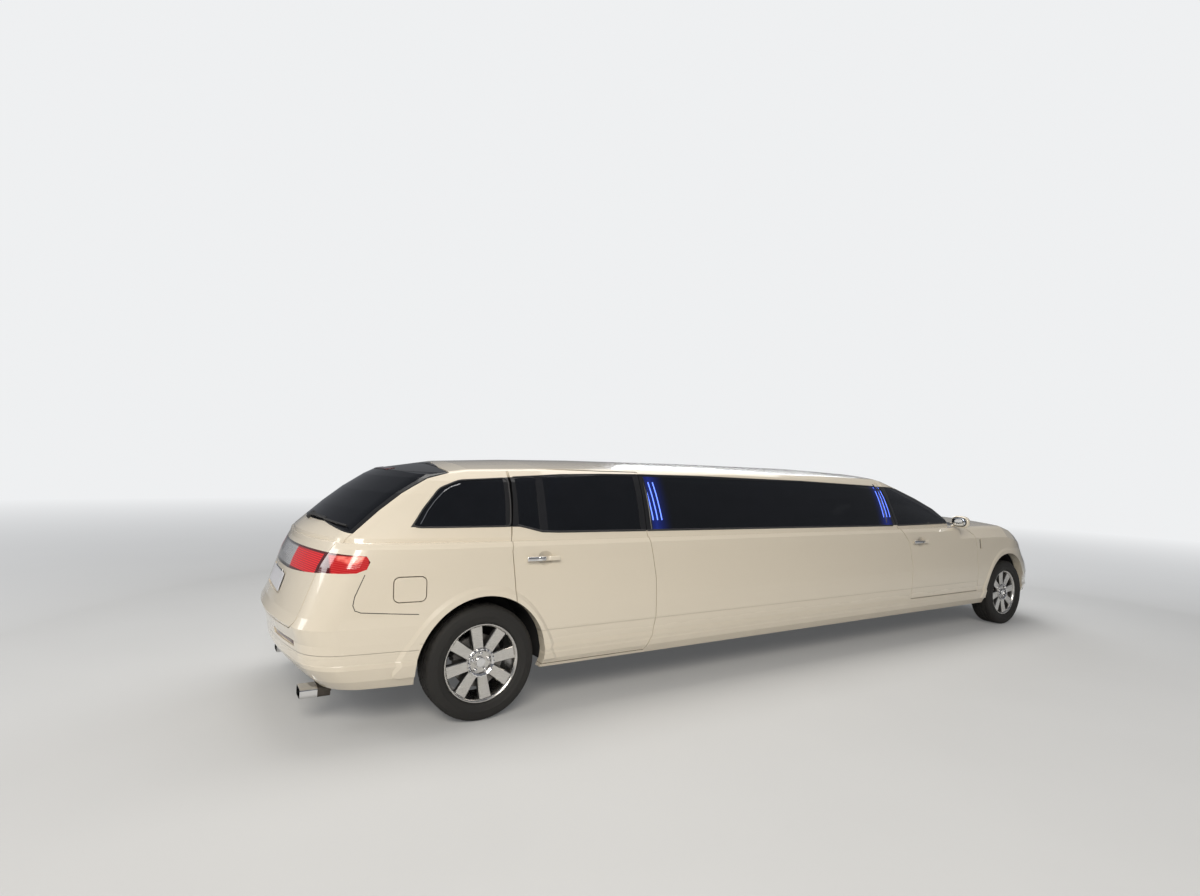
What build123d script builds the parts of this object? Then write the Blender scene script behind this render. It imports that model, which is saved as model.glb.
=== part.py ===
"""Stretch limousine: a long four-door estate car with a lengthened middle.

Millimetres. X runs forward, Y to the car's left and Z up from the ground. The origin is on the
ground under the middle of the car. The body is two ruled lofts stacked at the shoulder line, the
lower body and the cabin, each trimmed by a crown: the roof and the hood. Every panel is a piece of
the wall between this body and the same body set inwards.
"""

from build123d import *

import os

os.makedirs("parts", exist_ok=True)

# Overall sizes
BASE_WHEELBASE = 2995
STRETCH = 3556
FRONT_OVERHANG = 1033
REAR_OVERHANG = 1195
WHEELBASE = BASE_WHEELBASE + STRETCH
LENGTH = FRONT_OVERHANG + WHEELBASE + REAR_OVERHANG
REAR_AXLE = -LENGTH / 2 + REAR_OVERHANG
FRONT_AXLE = REAR_AXLE + WHEELBASE

# Walls and gaps
DOOR_WALL = 70
CABIN_WALL = 45
HOOD_WALL = 30
GLASS = 5
GLASS_DEPTH = 1
SEAT_GAP = 0.3
PANEL_GAP = 6
SHOULDER_Z = 1150
LEDGE = 25
REACH_Y = 1200
NEAR_Y = 690
QUARTER_NEAR_Y = 560
FAR = 6000

# Wheels
TYRE_RADIUS = 370.5
TYRE_WIDTH = 235
RIM_RADIUS = 241.3
RIM_WIDTH = 190
RIM_WALL = 12
TRACK = 1661
ARCH_REAR = 440
ARCH_FRONT = 462
FLARE = 10
FLARE_WIDTH = 45
LINER_STEP = 10
LINER_WALL = 6
SPOKES = 8
SPOKE_DEPTH = 30
HALF_RIM = RIM_WIDTH / 2
FLANGE = 12
FLANGE_WALL = 8
BEAD = HALF_RIM - FLANGE_WALL
HUB_BORE = 28
KINGPIN_Y = 700
PIN_RADIUS = 14
RUNNING = 0.05

# Body levels: height, half width, front reach, rear reach, front bow, rear bow, front taper, rear taper.
# A reach is how far the outline goes past the axle on the centre line, a bow how far its corner
# lies behind that, and a taper how far the corner lies inside the half width.
LOWER_LEVELS = [
    (285, 905, 900, 1000, 160, 110, 180, 90),
    (345, 940, 985, 1062, 170, 115, 185, 90),
    (420, 958, 1022, 1125, 180, 120, 190, 90),
    (450, 952, 1028, 1142, 182, 120, 190, 90),
    (565, 964, 1033, 1160, 188, 125, 195, 95),
    (660, 966, 1022, REAR_OVERHANG, 195, 130, 210, 95),
    (720, 965, 1005, 1166, 200, 130, 225, 95),
    (1010, 951, 865, 1080, 222, 148, 280, 105),
    (1118, 944, 775, 1032, 230, 155, 288, 115),
    (1150, 927, 745, 1026, 235, 160, 290, 130),
    (1240, 880, 660, 940, 240, 165, 290, 140),
]
CABIN_LEVELS = [
    (1100, 931, -490, 1025, 303, 170, 154, 165),
    (1175, 914, -602, 1009, 290, 167, 137, 165),
    (1340, 866, -950, 835, 265, 167, 106, 163),
    (1450, 825, -1260, 702, 243, 171, 91, 150),
    (1550, 777, -1585, 556, 213, 180, 81, 132),
    (1650, 721, -1935, 365, 180, 178, 70, 120),
    (1760, 655, -2350, 120, 150, 170, 60, 110),
]
LOWER_CORNERS = (330, 260)
CABIN_CORNERS = (150, 200)
LOWER_STRAIGHT = (REAR_AXLE - 100, FRONT_AXLE + 50)
CABIN_STRAIGHT = (REAR_AXLE + 600, FRONT_AXLE - 2600)

# Crowns: station along X, height on the centre line, drop one metre out from it, half width at
# which the crown turns down into the side
ROOF_CROWN = [
    (REAR_AXLE - 1200, 1476, 115, 573),
    (REAR_AXLE - 50, 1665, 115, 650),
    (REAR_AXLE + 475, 1692, 115, 700),
    (REAR_AXLE + 1100, 1708, 115, 705),
    (REAR_AXLE + 2300, 1718, 115, 705),
    (FRONT_AXLE - 2900, 1714, 115, 703),
    (FRONT_AXLE - 2150, 1692, 115, 660),
    (FRONT_AXLE - 1000, 1480, 115, 950),
]
HOOD_CROWN = [
    (FRONT_AXLE - 1300, 1172, 30, 870),
    (FRONT_AXLE - 700, 1182, 45, 870),
    (FRONT_AXLE - 250, 1194, 62, 870),
    (FRONT_AXLE, 1196, 72, 870),
    (FRONT_AXLE + 200, 1155, 85, 865),
    (FRONT_AXLE + 350, 1104, 95, 840),
    (FRONT_AXLE + 600, 985, 98, 760),
    (FRONT_AXLE + 800, 815, 100, 700),
    (FRONT_AXLE + 1100, 480, 100, 600),
]
ROOF_EDGE = (60, 400, 400)
HOOD_EDGE = (80, 260, 390)
COWL_X = FRONT_AXLE - 1000


def outline(level, inset, corners, straight):
    """The plan outline at one level, set inwards by inset."""
    height, half, front, rear, front_bow, rear_bow, front_taper, rear_taper = level
    half -= inset
    nose = FRONT_AXLE + front - inset
    tail = REAR_AXLE - rear + inset
    tail_corner = (tail + rear_bow, half - rear_taper)
    nose_corner = (nose - front_bow, half - front_taper)
    side_back = (straight[0], half)
    side_front = (straight[1], half)
    tail_other, nose_other, back_other, front_other = [
        (x, -y) for x, y in (tail_corner, nose_corner, side_back, side_front)
    ]
    with BuildSketch(Plane.XY.offset(height)) as plan:
        with BuildLine():
            ThreePointArc(tail_other, (tail, 0), tail_corner)
            TangentArc(side_back, tail_corner, tangent=(-1, 0))
            Line(side_back, side_front)
            TangentArc(side_front, nose_corner, tangent=(1, 0))
            ThreePointArc(nose_corner, (nose, 0), nose_other)
            TangentArc(front_other, nose_other, tangent=(1, 0))
            Line(front_other, back_other)
            TangentArc(back_other, tail_other, tangent=(-1, 0))
        make_face()
        fillet(plan.vertices().sort_by(Axis.X)[:2], corners[1] - inset)
        fillet(plan.vertices().sort_by(Axis.X)[-2:], corners[0] - inset)
    return plan.sketch


def lofted(levels, inset, corners, straight):
    """The solid through all the levels of a table, set inwards by inset."""
    with BuildPart() as body:
        for level in levels:
            add(outline(level, inset, corners, straight))
        loft(ruled=True)
    return body.part


def crowned(line, edge_shape, lowered):
    """The solid under a crown that turns down into the sides with a rounded edge."""
    radius, run, fall = edge_shape
    with BuildPart() as volume:
        for station, height, drop, edge in line:
            top = height - lowered
            side = edge - lowered / 2
            side_z = top - drop * (side / 1000) ** 2
            with BuildSketch(Plane.YZ.offset(station)) as section:
                with BuildLine():
                    ThreePointArc((-side, side_z), (0, top), (side, side_z))
                    Polyline(
                        (side, side_z), (side + run, side_z - fall), (side + run, 0),
                        (-side - run, 0), (-side - run, side_z - fall), (-side, side_z),
                    )
                make_face()
                fillet(section.vertices().sort_by(Axis.Y)[-2:], radius - lowered)
        loft(ruled=True)
    return volume.part


def lower(inset):
    return lofted(LOWER_LEVELS, inset, LOWER_CORNERS, LOWER_STRAIGHT)


def cabin(inset):
    return lofted(CABIN_LEVELS, inset, CABIN_CORNERS, CABIN_STRAIGHT)


def roof(lowered):
    return crowned(ROOF_CROWN, ROOF_EDGE, lowered)


def hood(lowered):
    return crowned(HOOD_CROWN, HOOD_EDGE, lowered)


def side_cut(points, gap=0, near=NEAR_Y, far=REACH_Y):
    """A side-view outline of (x, z) points, grown by a gap and pushed through the right side."""
    with BuildPart() as cut:
        with BuildSketch(Plane.XZ.offset(near)):
            Polygon(*points, align=None)
            if gap:
                offset(amount=gap, kind=Kind.ARC)
        extrude(amount=far - near)
    return cut.part


def rear_cut(points, low_x, high_x, gap=0, low_radius=0):
    """A rear-view outline of (y, z) points between two stations."""
    with BuildPart() as cut:
        with BuildSketch(Plane.YZ.offset(low_x)) as view:
            Polygon(*points, align=None)
            if low_radius:
                fillet(view.vertices().group_by(Axis.Y)[0], low_radius)
            if gap:
                offset(amount=gap, kind=Kind.ARC)
        extrude(amount=high_x - low_x)
    return cut.part


def plan_cut(points, low_z, high_z, gap=0):
    """A plan-view outline of (x, y) points between two heights."""
    with BuildPart() as cut:
        with BuildSketch(Plane.XY.offset(low_z)):
            Polygon(*points, align=None)
            if gap:
                offset(amount=gap, kind=Kind.ARC)
        extrude(amount=high_z - low_z)
    return cut.part


def zone(points):
    """A side-view zone over the whole width."""
    return side_cut(points, near=-REACH_Y)


def rear_of(points):
    """The points with x counted from the rear axle."""
    return [(REAR_AXLE + x, z) for x, z in points]


def front_of(points):
    """The points with x counted from the front axle."""
    return [(FRONT_AXLE + x, z) for x, z in points]


def block(low, high):
    """A plain box between two corners."""
    size = [b - a for a, b in zip(low, high)]
    middle = [(a + b) / 2 for a, b in zip(low, high)]
    return Pos(*middle) * Box(*size)


def both(shape):
    """A shape of the right side together with its mirror image."""
    return Compound(children=[*shape.solids(), *mirror(shape, about=Plane.XZ).solids()])


def left_of(shape):
    return mirror(shape, about=Plane.XZ)


def across(x, radius, length=2 * FAR, y=0):
    """A round bar across the car at axle height."""
    return Pos(x, y, TYRE_RADIUS) * Rot(90, 0, 0) * Cylinder(radius, length)


def keep(name, shape):
    """Name a piece and write its file."""
    solids = shape.solids()
    piece = solids[0] if len(solids) == 1 else Compound(children=solids)
    piece.label = name
    export_step(piece, "parts/" + name + ".step")


# Body volumes: outside, inside and the wall between them
lower_out = lower(0)
hood_out = hood(0)
behind_cowl = block((-FAR, -FAR, 0), (COWL_X, FAR, SHOULDER_Z))
under_ledge = block((-FAR, -FAR, 0), (COWL_X, FAR, SHOULDER_Z - LEDGE))
ahead_of_cowl = block((COWL_X, -FAR, 0), (FAR, FAR, FAR))


def hull(base, back, hood_cap, top):
    """The lower body under its shoulder and the hood, with the cabin on top."""
    return (base & back) + (base & hood_cap & ahead_of_cowl) + top


def flare(x, arch):
    """The raised lip around a wheel arch, whose outer edge is a cone that fades into the side."""
    lip = lower(-FLARE) & both(
        Pos(x, -LOWER_LEVELS[5][1], TYRE_RADIUS) * Rot(90, 0, 0)
        * Cone(arch + 3 * FLARE_WIDTH, arch - FLARE_WIDTH, 8 * FLARE)
    )
    return lip & block((-FAR, -FAR, LOWER_LEVELS[1][0]), (FAR, FAR, SHOULDER_Z - 50))


outside = hull(lower_out, behind_cowl, hood_out, cabin(0) & roof(0))
outside = outside + [*flare(REAR_AXLE, ARCH_REAR).solids(), *flare(FRONT_AXLE, ARCH_FRONT).solids()]
inside = hull(lower(DOOR_WALL), under_ledge, hood(HOOD_WALL), cabin(CABIN_WALL) & roof(CABIN_WALL))
shell = outside - [inside, across(REAR_AXLE, ARCH_REAR), across(FRONT_AXLE, ARCH_FRONT)]

# Side-view outlines of the doors and windows, as (x, z)
REAR_DOOR = rear_of([
    (400, 312), (1300, 312), (1352, 430), (1370, 562), (1364, 848), (1326, 1060), (1296, 1180),
    (1302, 1400), (1314, 1632), (222, 1632), (208, 1400), (190, 1200), (180, 1085), (203, 882),
    (219, 700), (219, 372),
])
FRONT_DOOR = front_of([
    (-1900, 445), (-653, 445), (-653, 700), (-676, 932), (-700, 1060), (-790, 1128), (-880, 1172),
    (-1118, 1278), (-1505, 1420), (-1781, 1514), (-1960, 1575), (-2190, 1632), (-2150, 1400),
    (-2098, 1185), (-1950, 1027), (-1890, 777), (-1905, 571),
])
REAR_WINDOW = rear_of([
    (245, 1262), (300, 1242), (415, 1213), (540, 1207), (1246, 1203), (1258, 1602), (970, 1600),
    (620, 1590), (300, 1568), (258, 1562),
])
FRONT_WINDOW = front_of([
    (-2058, 1190), (-960, 1184), (-1118, 1238), (-1505, 1380), (-1781, 1475), (-1960, 1540),
    (-2085, 1563), (-2100, 1400),
])
CENTRE_WINDOW = [
    (REAR_AXLE + 1346, 1203), (FRONT_AXLE - 2150, 1190), (FRONT_AXLE - 2205, 1400),
    (FRONT_AXLE - 2240, 1572), (REAR_AXLE + 3180, 1595), (REAR_AXLE + 1960, 1602),
    (REAR_AXLE + 1358, 1603),
]
QUARTER_WINDOW = rear_of([
    (-445, 1258), (-405, 1245), (150, 1252), (165, 1400), (172, 1562), (-128, 1542), (-263, 1485),
    (-380, 1350),
])

# What a door's upper rear edge gives up, so that its inner corner swings clear of the pillar
REAR_RELIEF = rear_of([(0, 1180), (191, 1180), (219, 1400), (238, 1660), (0, 1660)])
FRONT_RELIEF = front_of([(-2400, 1180), (-2096, 1180), (-2145, 1400), (-2182, 1660), (-2400, 1660)])

# Rear-view and plan-view outlines
GATE_X = REAR_AXLE - 190
GATE_TOP_GAP = 11
GATE_SKIN = 6
GATE_RELIEF = 14
GATE_RADIUS = 70
GATE = [(-700, 648), (700, 648), (704, 1000), (722, 1180), (640, 1605), (620, 1800),
        (-620, 1800), (-640, 1605), (-722, 1180), (-704, 1000)]
GATE_WINDOW = [(-695, 1213), (-350, 1255), (350, 1255), (695, 1213), (624, 1588), (-624, 1588)]
GATE_WINDOW_X = GATE_X - 45
SCREEN = [(-700, 1170), (700, 1170), (590, 1585), (300, 1605), (-300, 1605), (-590, 1585)]
SCREEN_X = (FRONT_AXLE - 2300, FRONT_AXLE)
HOOD_REAR = FRONT_AXLE - 570
HOOD_FRONT = FRONT_AXLE + 640
HOOD = [(HOOD_REAR, -735), (HOOD_FRONT - 240, -660), (HOOD_FRONT, -420), (HOOD_FRONT, 420),
        (HOOD_FRONT - 240, 660), (HOOD_REAR, 735)]
HOOD_LEVELS = (700, 1500)

# Cut the shell once with every opening
openings = [
    plan_cut(HOOD, *HOOD_LEVELS, PANEL_GAP),
    rear_cut(GATE, -FAR, GATE_X + GATE_TOP_GAP, PANEL_GAP, GATE_RADIUS),
    rear_cut(SCREEN, *SCREEN_X),
]
for points, gap, near in (
    (REAR_DOOR, PANEL_GAP, NEAR_Y), (FRONT_DOOR, PANEL_GAP, NEAR_Y),
    (CENTRE_WINDOW, 0, NEAR_Y), (QUARTER_WINDOW, 0, QUARTER_NEAR_Y),
):
    hole = side_cut(points, gap, near)
    openings += [hole, left_of(hole)]
fixed = shell - openings

# Door hinges: a pin in each door turns in an arm that reaches out from the pillar behind the skin
HINGE_BACK = 60
HINGE_Y = 944
HINGE_PIN = 4
HINGE_HALF = 14
HINGE_ARM = 16
HINGE_POCKET = 24
HINGE_SKIN = HINGE_ARM / 2 + 5
HINGE_HEIGHTS = (530, 800)
HINGE_INNER = 845
HINGE_REACH = (160, 150)
REAR_HINGE_X = REAR_AXLE + 1370 - HINGE_BACK
FRONT_HINGE_X = FRONT_AXLE - 653 - HINGE_BACK


def hinge_pockets(x):
    return [
        block((x - HINGE_POCKET, -HINGE_Y - HINGE_SKIN, z - HINGE_POCKET),
              (x + HINGE_BACK + 20, -NEAR_Y, z + HINGE_POCKET))
        for z in HINGE_HEIGHTS
    ]


def hinge_pins(x):
    return [Pos(x, -HINGE_Y, z) * Cylinder(HINGE_PIN, 2 * HINGE_POCKET + 2) for z in HINGE_HEIGHTS]


def hinge_arms(x, reach):
    """The body's half of both hinges, from the pin inwards and forwards to the pillar."""
    half = HINGE_ARM / 2
    arms = []
    for z in HINGE_HEIGHTS:
        with BuildPart() as arm:
            with BuildSketch(Plane.XY.offset(z - HINGE_HALF)):
                Polygon(
                    (x - half, -HINGE_Y - half), (x + half, -HINGE_Y - half),
                    (x + half, -HINGE_INNER - HINGE_ARM), (x + reach, -HINGE_INNER - HINGE_ARM),
                    (x + reach, -HINGE_INNER), (x - half, -HINGE_INNER), align=None,
                )
                with Locations((x, -HINGE_Y)):
                    Circle(HINGE_PIN + RUNNING, mode=Mode.SUBTRACT)
            extrude(amount=2 * HINGE_HALF)
        arms += arm.part.solids()
    return arms


arms = hinge_arms(REAR_HINGE_X, HINGE_REACH[0]) + hinge_arms(FRONT_HINGE_X, HINGE_REACH[1])
keep("door_hinges", both(Compound(children=arms)))

# Doors with their handles
HANDLE_Y = 962
HANDLE_LENGTH = 235


def handle(x, z):
    """A bar handle with bevelled long edges on two feet."""
    with BuildPart() as bar:
        with Locations((x, -HANDLE_Y - 14, z)):
            Box(HANDLE_LENGTH, 14, 26)
        chamfer(bar.edges().filter_by(Axis.X), 5)
        with Locations((x - 90, -HANDLE_Y + 8, z), (x + 90, -HANDLE_Y + 8, z)):
            Box(26, 40, 16)
    return bar.part


def door(points, window, relief, hinge_x, handle_part):
    """One side door: its part of the wall, less the window, the relief and the hinge pockets."""
    panel = (shell & side_cut(points)) - [side_cut(window), side_cut(relief), *hinge_pockets(hinge_x)]
    return panel + [*hinge_pins(hinge_x), handle_part]


rear_door = door(REAR_DOOR, REAR_WINDOW, REAR_RELIEF, REAR_HINGE_X, handle(REAR_AXLE + 395, 1035))
front_door = door(
    FRONT_DOOR, FRONT_WINDOW, FRONT_RELIEF, FRONT_HINGE_X, handle(FRONT_AXLE - 1775, 1020)
)
keep("door_rear_right", rear_door)
keep("door_rear_left", left_of(rear_door))
keep("door_front_right", front_door)
keep("door_front_left", left_of(front_door))

# Hood and liftgate with their hinge straps, and the notches the straps stand in
LID_HINGE = 40
LID_HALF = 14
LID_NOTCH = 6
LID_PIN = 5
LID_EYE = 9
HOOD_HINGE = (HOOD_REAR - LID_HINGE, 600, 1152)
GATE_HINGE = (GATE_X + LID_HINGE, 150, 1626)


def strap(x, y, z, reach):
    """A hinge eye with an arm that runs along X to its lid."""
    with BuildPart() as part:
        with BuildSketch(Plane.XZ.offset(-y - LID_HALF)):
            with Locations((x, z)):
                Circle(LID_EYE)
            with Locations((x + reach / 2, z)):
                Rectangle(abs(reach), 2 * LID_EYE)
            with Locations((x, z)):
                Circle(LID_PIN + RUNNING, mode=Mode.SUBTRACT)
        extrude(amount=2 * LID_HALF)
    return part.part


def notch(x, y, z, reach):
    """The room for a strap, open upwards so that it can swing."""
    half = LID_HALF + LID_NOTCH
    ends = sorted((x - reach / abs(reach) * (LID_EYE + 8), x + reach))
    return block((ends[0], y - half, z - 60), (ends[1], y + half, z + 80))


def lid_pin(x, y, z):
    return Pos(x, y, z) * Rot(90, 0, 0) * Cylinder(LID_PIN, 2 * (LID_HALF + LID_NOTCH) + 2)


def at_both(make, place, *reach):
    """The same hinge part on both sides."""
    x, y, z = place
    return [make(x, side * y, z, *reach) for side in (-1, 1)]


keep("hood", (shell & plan_cut(HOOD, *HOOD_LEVELS)) + at_both(strap, HOOD_HINGE, 75))
notches = at_both(notch, HOOD_HINGE, 60) + at_both(notch, GATE_HINGE, -60)

# Lamps and grille take the outer part of the wall
LAMP_DEPTH = 38
GRILLE_HALF = 400
TAIL_LAMP = rear_of([(-2000, 942), (-1090, 942), (-1040, 956), (-970, 978), (-800, 984),
                     (-742, 1006), (-722, 1048), (-742, 1082), (-920, 1093), (-2000, 1095)])
HEADLAMP = front_of([(440, 775), (700, 700), (1500, 690), (1500, 845), (560, 845)])
lamp_skin = lower_out - lower(LAMP_DEPTH)
tail_zone = lamp_skin & zone(TAIL_LAMP)
head_zone = (lamp_skin & zone(HEADLAMP)) - block((0, -470, 0), (FAR, 470, FAR))
grille_zone = lamp_skin & block((FRONT_AXLE + 700, -GRILLE_HALF, 480), (FAR, GRILLE_HALF, 790))
gate = (shell & rear_cut(GATE, -FAR, GATE_X, 0, GATE_RADIUS)) - rear_cut(
    GATE_WINDOW, -FAR, GATE_WINDOW_X)

# Under its skin the gate's frame is narrower, so that its sides swing clear of the pillars
gate = gate - ((cabin(GATE_SKIN) & roof(GATE_SKIN)) - rear_cut(GATE, -FAR, FAR, -GATE_RELIEF))
keep("liftgate_lamp", gate & tail_zone)
keep("tail_lamps", fixed & tail_zone)
keep("headlamps", fixed & head_zone)

# The grille is a row of upright bars in a frame
BAR_PITCH = 40
BAR_GAP = 24
BAR_COUNT = 9
with BuildPart() as grille_slots:
    with BuildSketch(Plane.YZ.offset(FRONT_AXLE + 700)):
        with Locations((-GRILLE_HALF / 2, 635), (GRILLE_HALF / 2, 635)):
            with GridLocations(BAR_PITCH, 0, BAR_COUNT, 1):
                Rectangle(BAR_GAP, 270)
    extrude(amount=WHEELBASE)
keep("grille", (fixed & grille_zone) - grille_slots.part)

# Recesses in the skin: number plate, bumper reflectors, fender vents
RECESS = 10
recess_skin = lower(-2 * FLARE) - lower(RECESS)
plate_recess = recess_skin & block((-FAR, -265, 778), (REAR_AXLE, 265, 913))
reflector_recess = recess_skin & block((-FAR, 250, 536), (REAR_AXLE - 1000, 655, 572))
vent_recess = recess_skin & side_cut(front_of([(-600, 900), (-572, 905), (-584, 1020), (-612, 1010)]))
vent_recess = both(vent_recess)
keep("liftgate", (gate - [tail_zone, plate_recess]) + at_both(strap, GATE_HINGE, -62))

# Fuel door in a pocket of the right quarter
FUEL_WALL = 4
FUEL_POCKET = 65
FUEL_X = REAR_AXLE - 491
FUEL_Z = 880
FUEL_SIZE = (190, 145)
FUEL_RADIUS = 32
FUEL_HINGE_INSET = 40
FUEL_HINGE_X = FUEL_X + FUEL_SIZE[0] / 2 - FUEL_HINGE_INSET
FUEL_HINGE_Y = 930
FUEL_SWING = 49
FUEL_LIP = 3
FUEL_LUG = 7
FUEL_PIN = 2


def fuel_outline(gap):
    """The rounded outline of the fuel door pushed through the right side."""
    with BuildPart() as prism:
        with BuildSketch(Plane.XZ.offset(NEAR_Y)):
            with Locations((FUEL_X, FUEL_Z)):
                RectangleRounded(FUEL_SIZE[0] + 2 * gap, FUEL_SIZE[1] + 2 * gap, FUEL_RADIUS + gap)
        extrude(amount=REACH_Y - NEAR_Y)
    return prism.part


fuel_pocket = fuel_outline(PANEL_GAP) & (lower(-2 * FLARE) - lower(FUEL_POCKET))
fuel_room = Pos(FUEL_HINGE_X, -FUEL_HINGE_Y, FUEL_Z) * Cylinder(
    FUEL_SWING, FUEL_SIZE[1] + 2 * PANEL_GAP)
fuel_pocket = fuel_pocket + (fuel_room & (lower(FUEL_LIP) - lower(FUEL_POCKET)))
fuel_pin = Pos(FUEL_HINGE_X, -FUEL_HINGE_Y, FUEL_Z) * Cylinder(
    FUEL_PIN, FUEL_SIZE[1] + 2 * PANEL_GAP + 2)
fuel_lug = lower_out & block(
    (FUEL_HINGE_X - FUEL_LUG, -REACH_Y, FUEL_Z - 20),
    (FUEL_HINGE_X + FUEL_LUG, -FUEL_HINGE_Y + FUEL_LUG, FUEL_Z + 20))
fuel_bore = Pos(FUEL_HINGE_X, -FUEL_HINGE_Y, FUEL_Z) * Cylinder(FUEL_PIN + RUNNING, 100)
keep("fuel_door", (fuel_outline(0) & (outside - lower(FUEL_WALL))) + (fuel_lug - fuel_bore))

# Lower air intakes of the front bumper, one above the other
INTAKE_HEIGHTS = (352, 388, 424)
intakes = [block((FRONT_AXLE + 800, -430, z - 11), (FAR, 430, z + 11)) for z in INTAKE_HEIGHTS]
fixed = fixed - [
    tail_zone, head_zone, grille_zone, fuel_pocket, *notches, *intakes,
    *both(reflector_recess).solids(), *vent_recess.solids(),
]

# Glass lies just under the outside
glass = (cabin(GLASS_DEPTH) & roof(GLASS_DEPTH)) - (
    cabin(GLASS_DEPTH + GLASS) & roof(GLASS_DEPTH + GLASS))
keep("windshield", glass & rear_cut(SCREEN, *SCREEN_X))
keep("liftgate_glass", glass & rear_cut(GATE_WINDOW, -FAR, GATE_WINDOW_X))
keep("side_glass", both(Compound(children=[
    *(glass & side_cut(CENTRE_WINDOW)).solids(),
    *(glass & side_cut(QUARTER_WINDOW, near=QUARTER_NEAR_Y)).solids(),
])))
rear_door_glass = glass & side_cut(REAR_WINDOW)
front_door_glass = glass & side_cut(FRONT_WINDOW)
keep("door_glass_rear_right", rear_door_glass)
keep("door_glass_rear_left", left_of(rear_door_glass))
keep("door_glass_front_right", front_door_glass)
keep("door_glass_front_left", left_of(front_door_glass))

# Fixed panels, each taken from its own zone
REAR_BUMPER = rear_of([(-2000, 0), (-425, 0), (-425, 727), (-790, 764), (-817, 810), (-760, 1000),
                       (-2000, 1000)])
ROOF_ZONE = [
    (GATE_X - 300, 1582), (REAR_AXLE + 1290, 1640), (FRONT_AXLE - 2150, 1640),
    (FRONT_AXLE - 2040, 1195), (FAR, 1195), (FAR, 2000), (GATE_X - 300, 2000),
]
CENTRE_ZONE = [
    (REAR_AXLE + 380, 0), (REAR_AXLE + 380, 318), (REAR_AXLE + 1290, 318), (REAR_AXLE + 1290, 1640),
    (FRONT_AXLE - 2150, 1640), (FRONT_AXLE - 2040, 1195), (FRONT_AXLE - 1880, 1027),
    (FRONT_AXLE - 1820, 470), (FRONT_AXLE - 658, 470), (FRONT_AXLE - 658, 0),
]
roof_zone = zone(ROOF_ZONE)
centre_zone = zone(CENTRE_ZONE)
bumper_zone = zone(REAR_BUMPER)
cowl_zone = block((COWL_X, -745, 900), (FRONT_AXLE - 400, 745, 1195))
front_zone = block((FRONT_AXLE + 560, -FAR, 0), (FAR, FAR, 1195))
keep("roof", (fixed & roof_zone) + at_both(lid_pin, GATE_HINGE))
keep("centre_panels", fixed & centre_zone)
keep("rear_bumper", fixed & bumper_zone)
keep("cowl", (fixed & cowl_zone) + at_both(lid_pin, HOOD_HINGE))
keep("front_bumper", fixed & front_zone)
rest = fixed - [roof_zone, centre_zone, bumper_zone, cowl_zone, front_zone]
ahead = block((0, -FAR, 0), (FAR, FAR, FAR))
keep("fenders", rest & ahead)
keep("quarter_panels", (rest - ahead) + fuel_pin)

# Floor and structure
FLOOR_Z = 330
FLOOR = 25
INSIDE_CLEAR = 12
FLOOR_TOP = FLOOR_Z + FLOOR
WELL_REAR = 570
WELL_FRONT = 480
floor_slab = block((-FAR, -FAR, FLOOR_Z), (FAR, FAR, FLOOR_TOP))
narrow = lower(DOOR_WALL + INSIDE_CLEAR)
tight = lower(DOOR_WALL - SEAT_GAP)


def well(x, arch, inner):
    """The room taken by both wheel liners of an axle."""
    return across(x, arch + LINER_STEP - SEAT_GAP) - block((-FAR, -inner, 0), (FAR, inner, FAR))


fixed_spans = [
    block((-FAR, -FAR, 0), (REAR_AXLE, FAR, FAR)),
    block((REAR_AXLE + 1400, -FAR, 0), (FRONT_AXLE - 1940, FAR, FAR)),
    block((FRONT_AXLE - 630, -FAR, 0), (FRONT_AXLE + 500, FAR, FAR)),
]
floor_pan = (narrow & floor_slab) + [tight & floor_slab & span for span in fixed_spans]
keep("floor_pan", floor_pan - [
    well(REAR_AXLE, ARCH_REAR, WELL_REAR + LINER_WALL),
    well(FRONT_AXLE, ARCH_FRONT, WELL_FRONT + LINER_WALL),
    block((REAR_AXLE - 60, -WELL_REAR, 0), (REAR_AXLE + 60, WELL_REAR, FAR)),
    block((FRONT_AXLE - 80, -WELL_FRONT, 0), (FRONT_AXLE + 80, WELL_FRONT, FAR)),
])


def liner(x, arch, inner):
    """Half a drum over the right wheel, closed on its inner side."""
    with BuildPart() as drum:
        with BuildSketch(Plane.XZ.offset(inner)):
            Circle(arch + LINER_STEP)
            Circle(arch + LINER_STEP - LINER_WALL, mode=Mode.SUBTRACT)
        extrude(amount=REACH_Y - inner)
        with BuildSketch(Plane.XZ.offset(inner)):
            Circle(arch + LINER_STEP)
        extrude(amount=LINER_WALL)
        with Locations((0, -inner, -FAR / 2 - 30)):
            Box(2 * FAR, 2 * FAR, FAR, mode=Mode.SUBTRACT)
        with Locations((0, -inner, 0)):
            Box(160, 3 * LINER_WALL, 300, mode=Mode.SUBTRACT)
    return (Pos(x, 0, TYRE_RADIUS) * drum.part) & narrow


keep("wheel_liners", both(Compound(children=[
    *liner(REAR_AXLE, ARCH_REAR, WELL_REAR).solids(),
    *liner(FRONT_AXLE, ARCH_FRONT, WELL_FRONT).solids(),
])))

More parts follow.
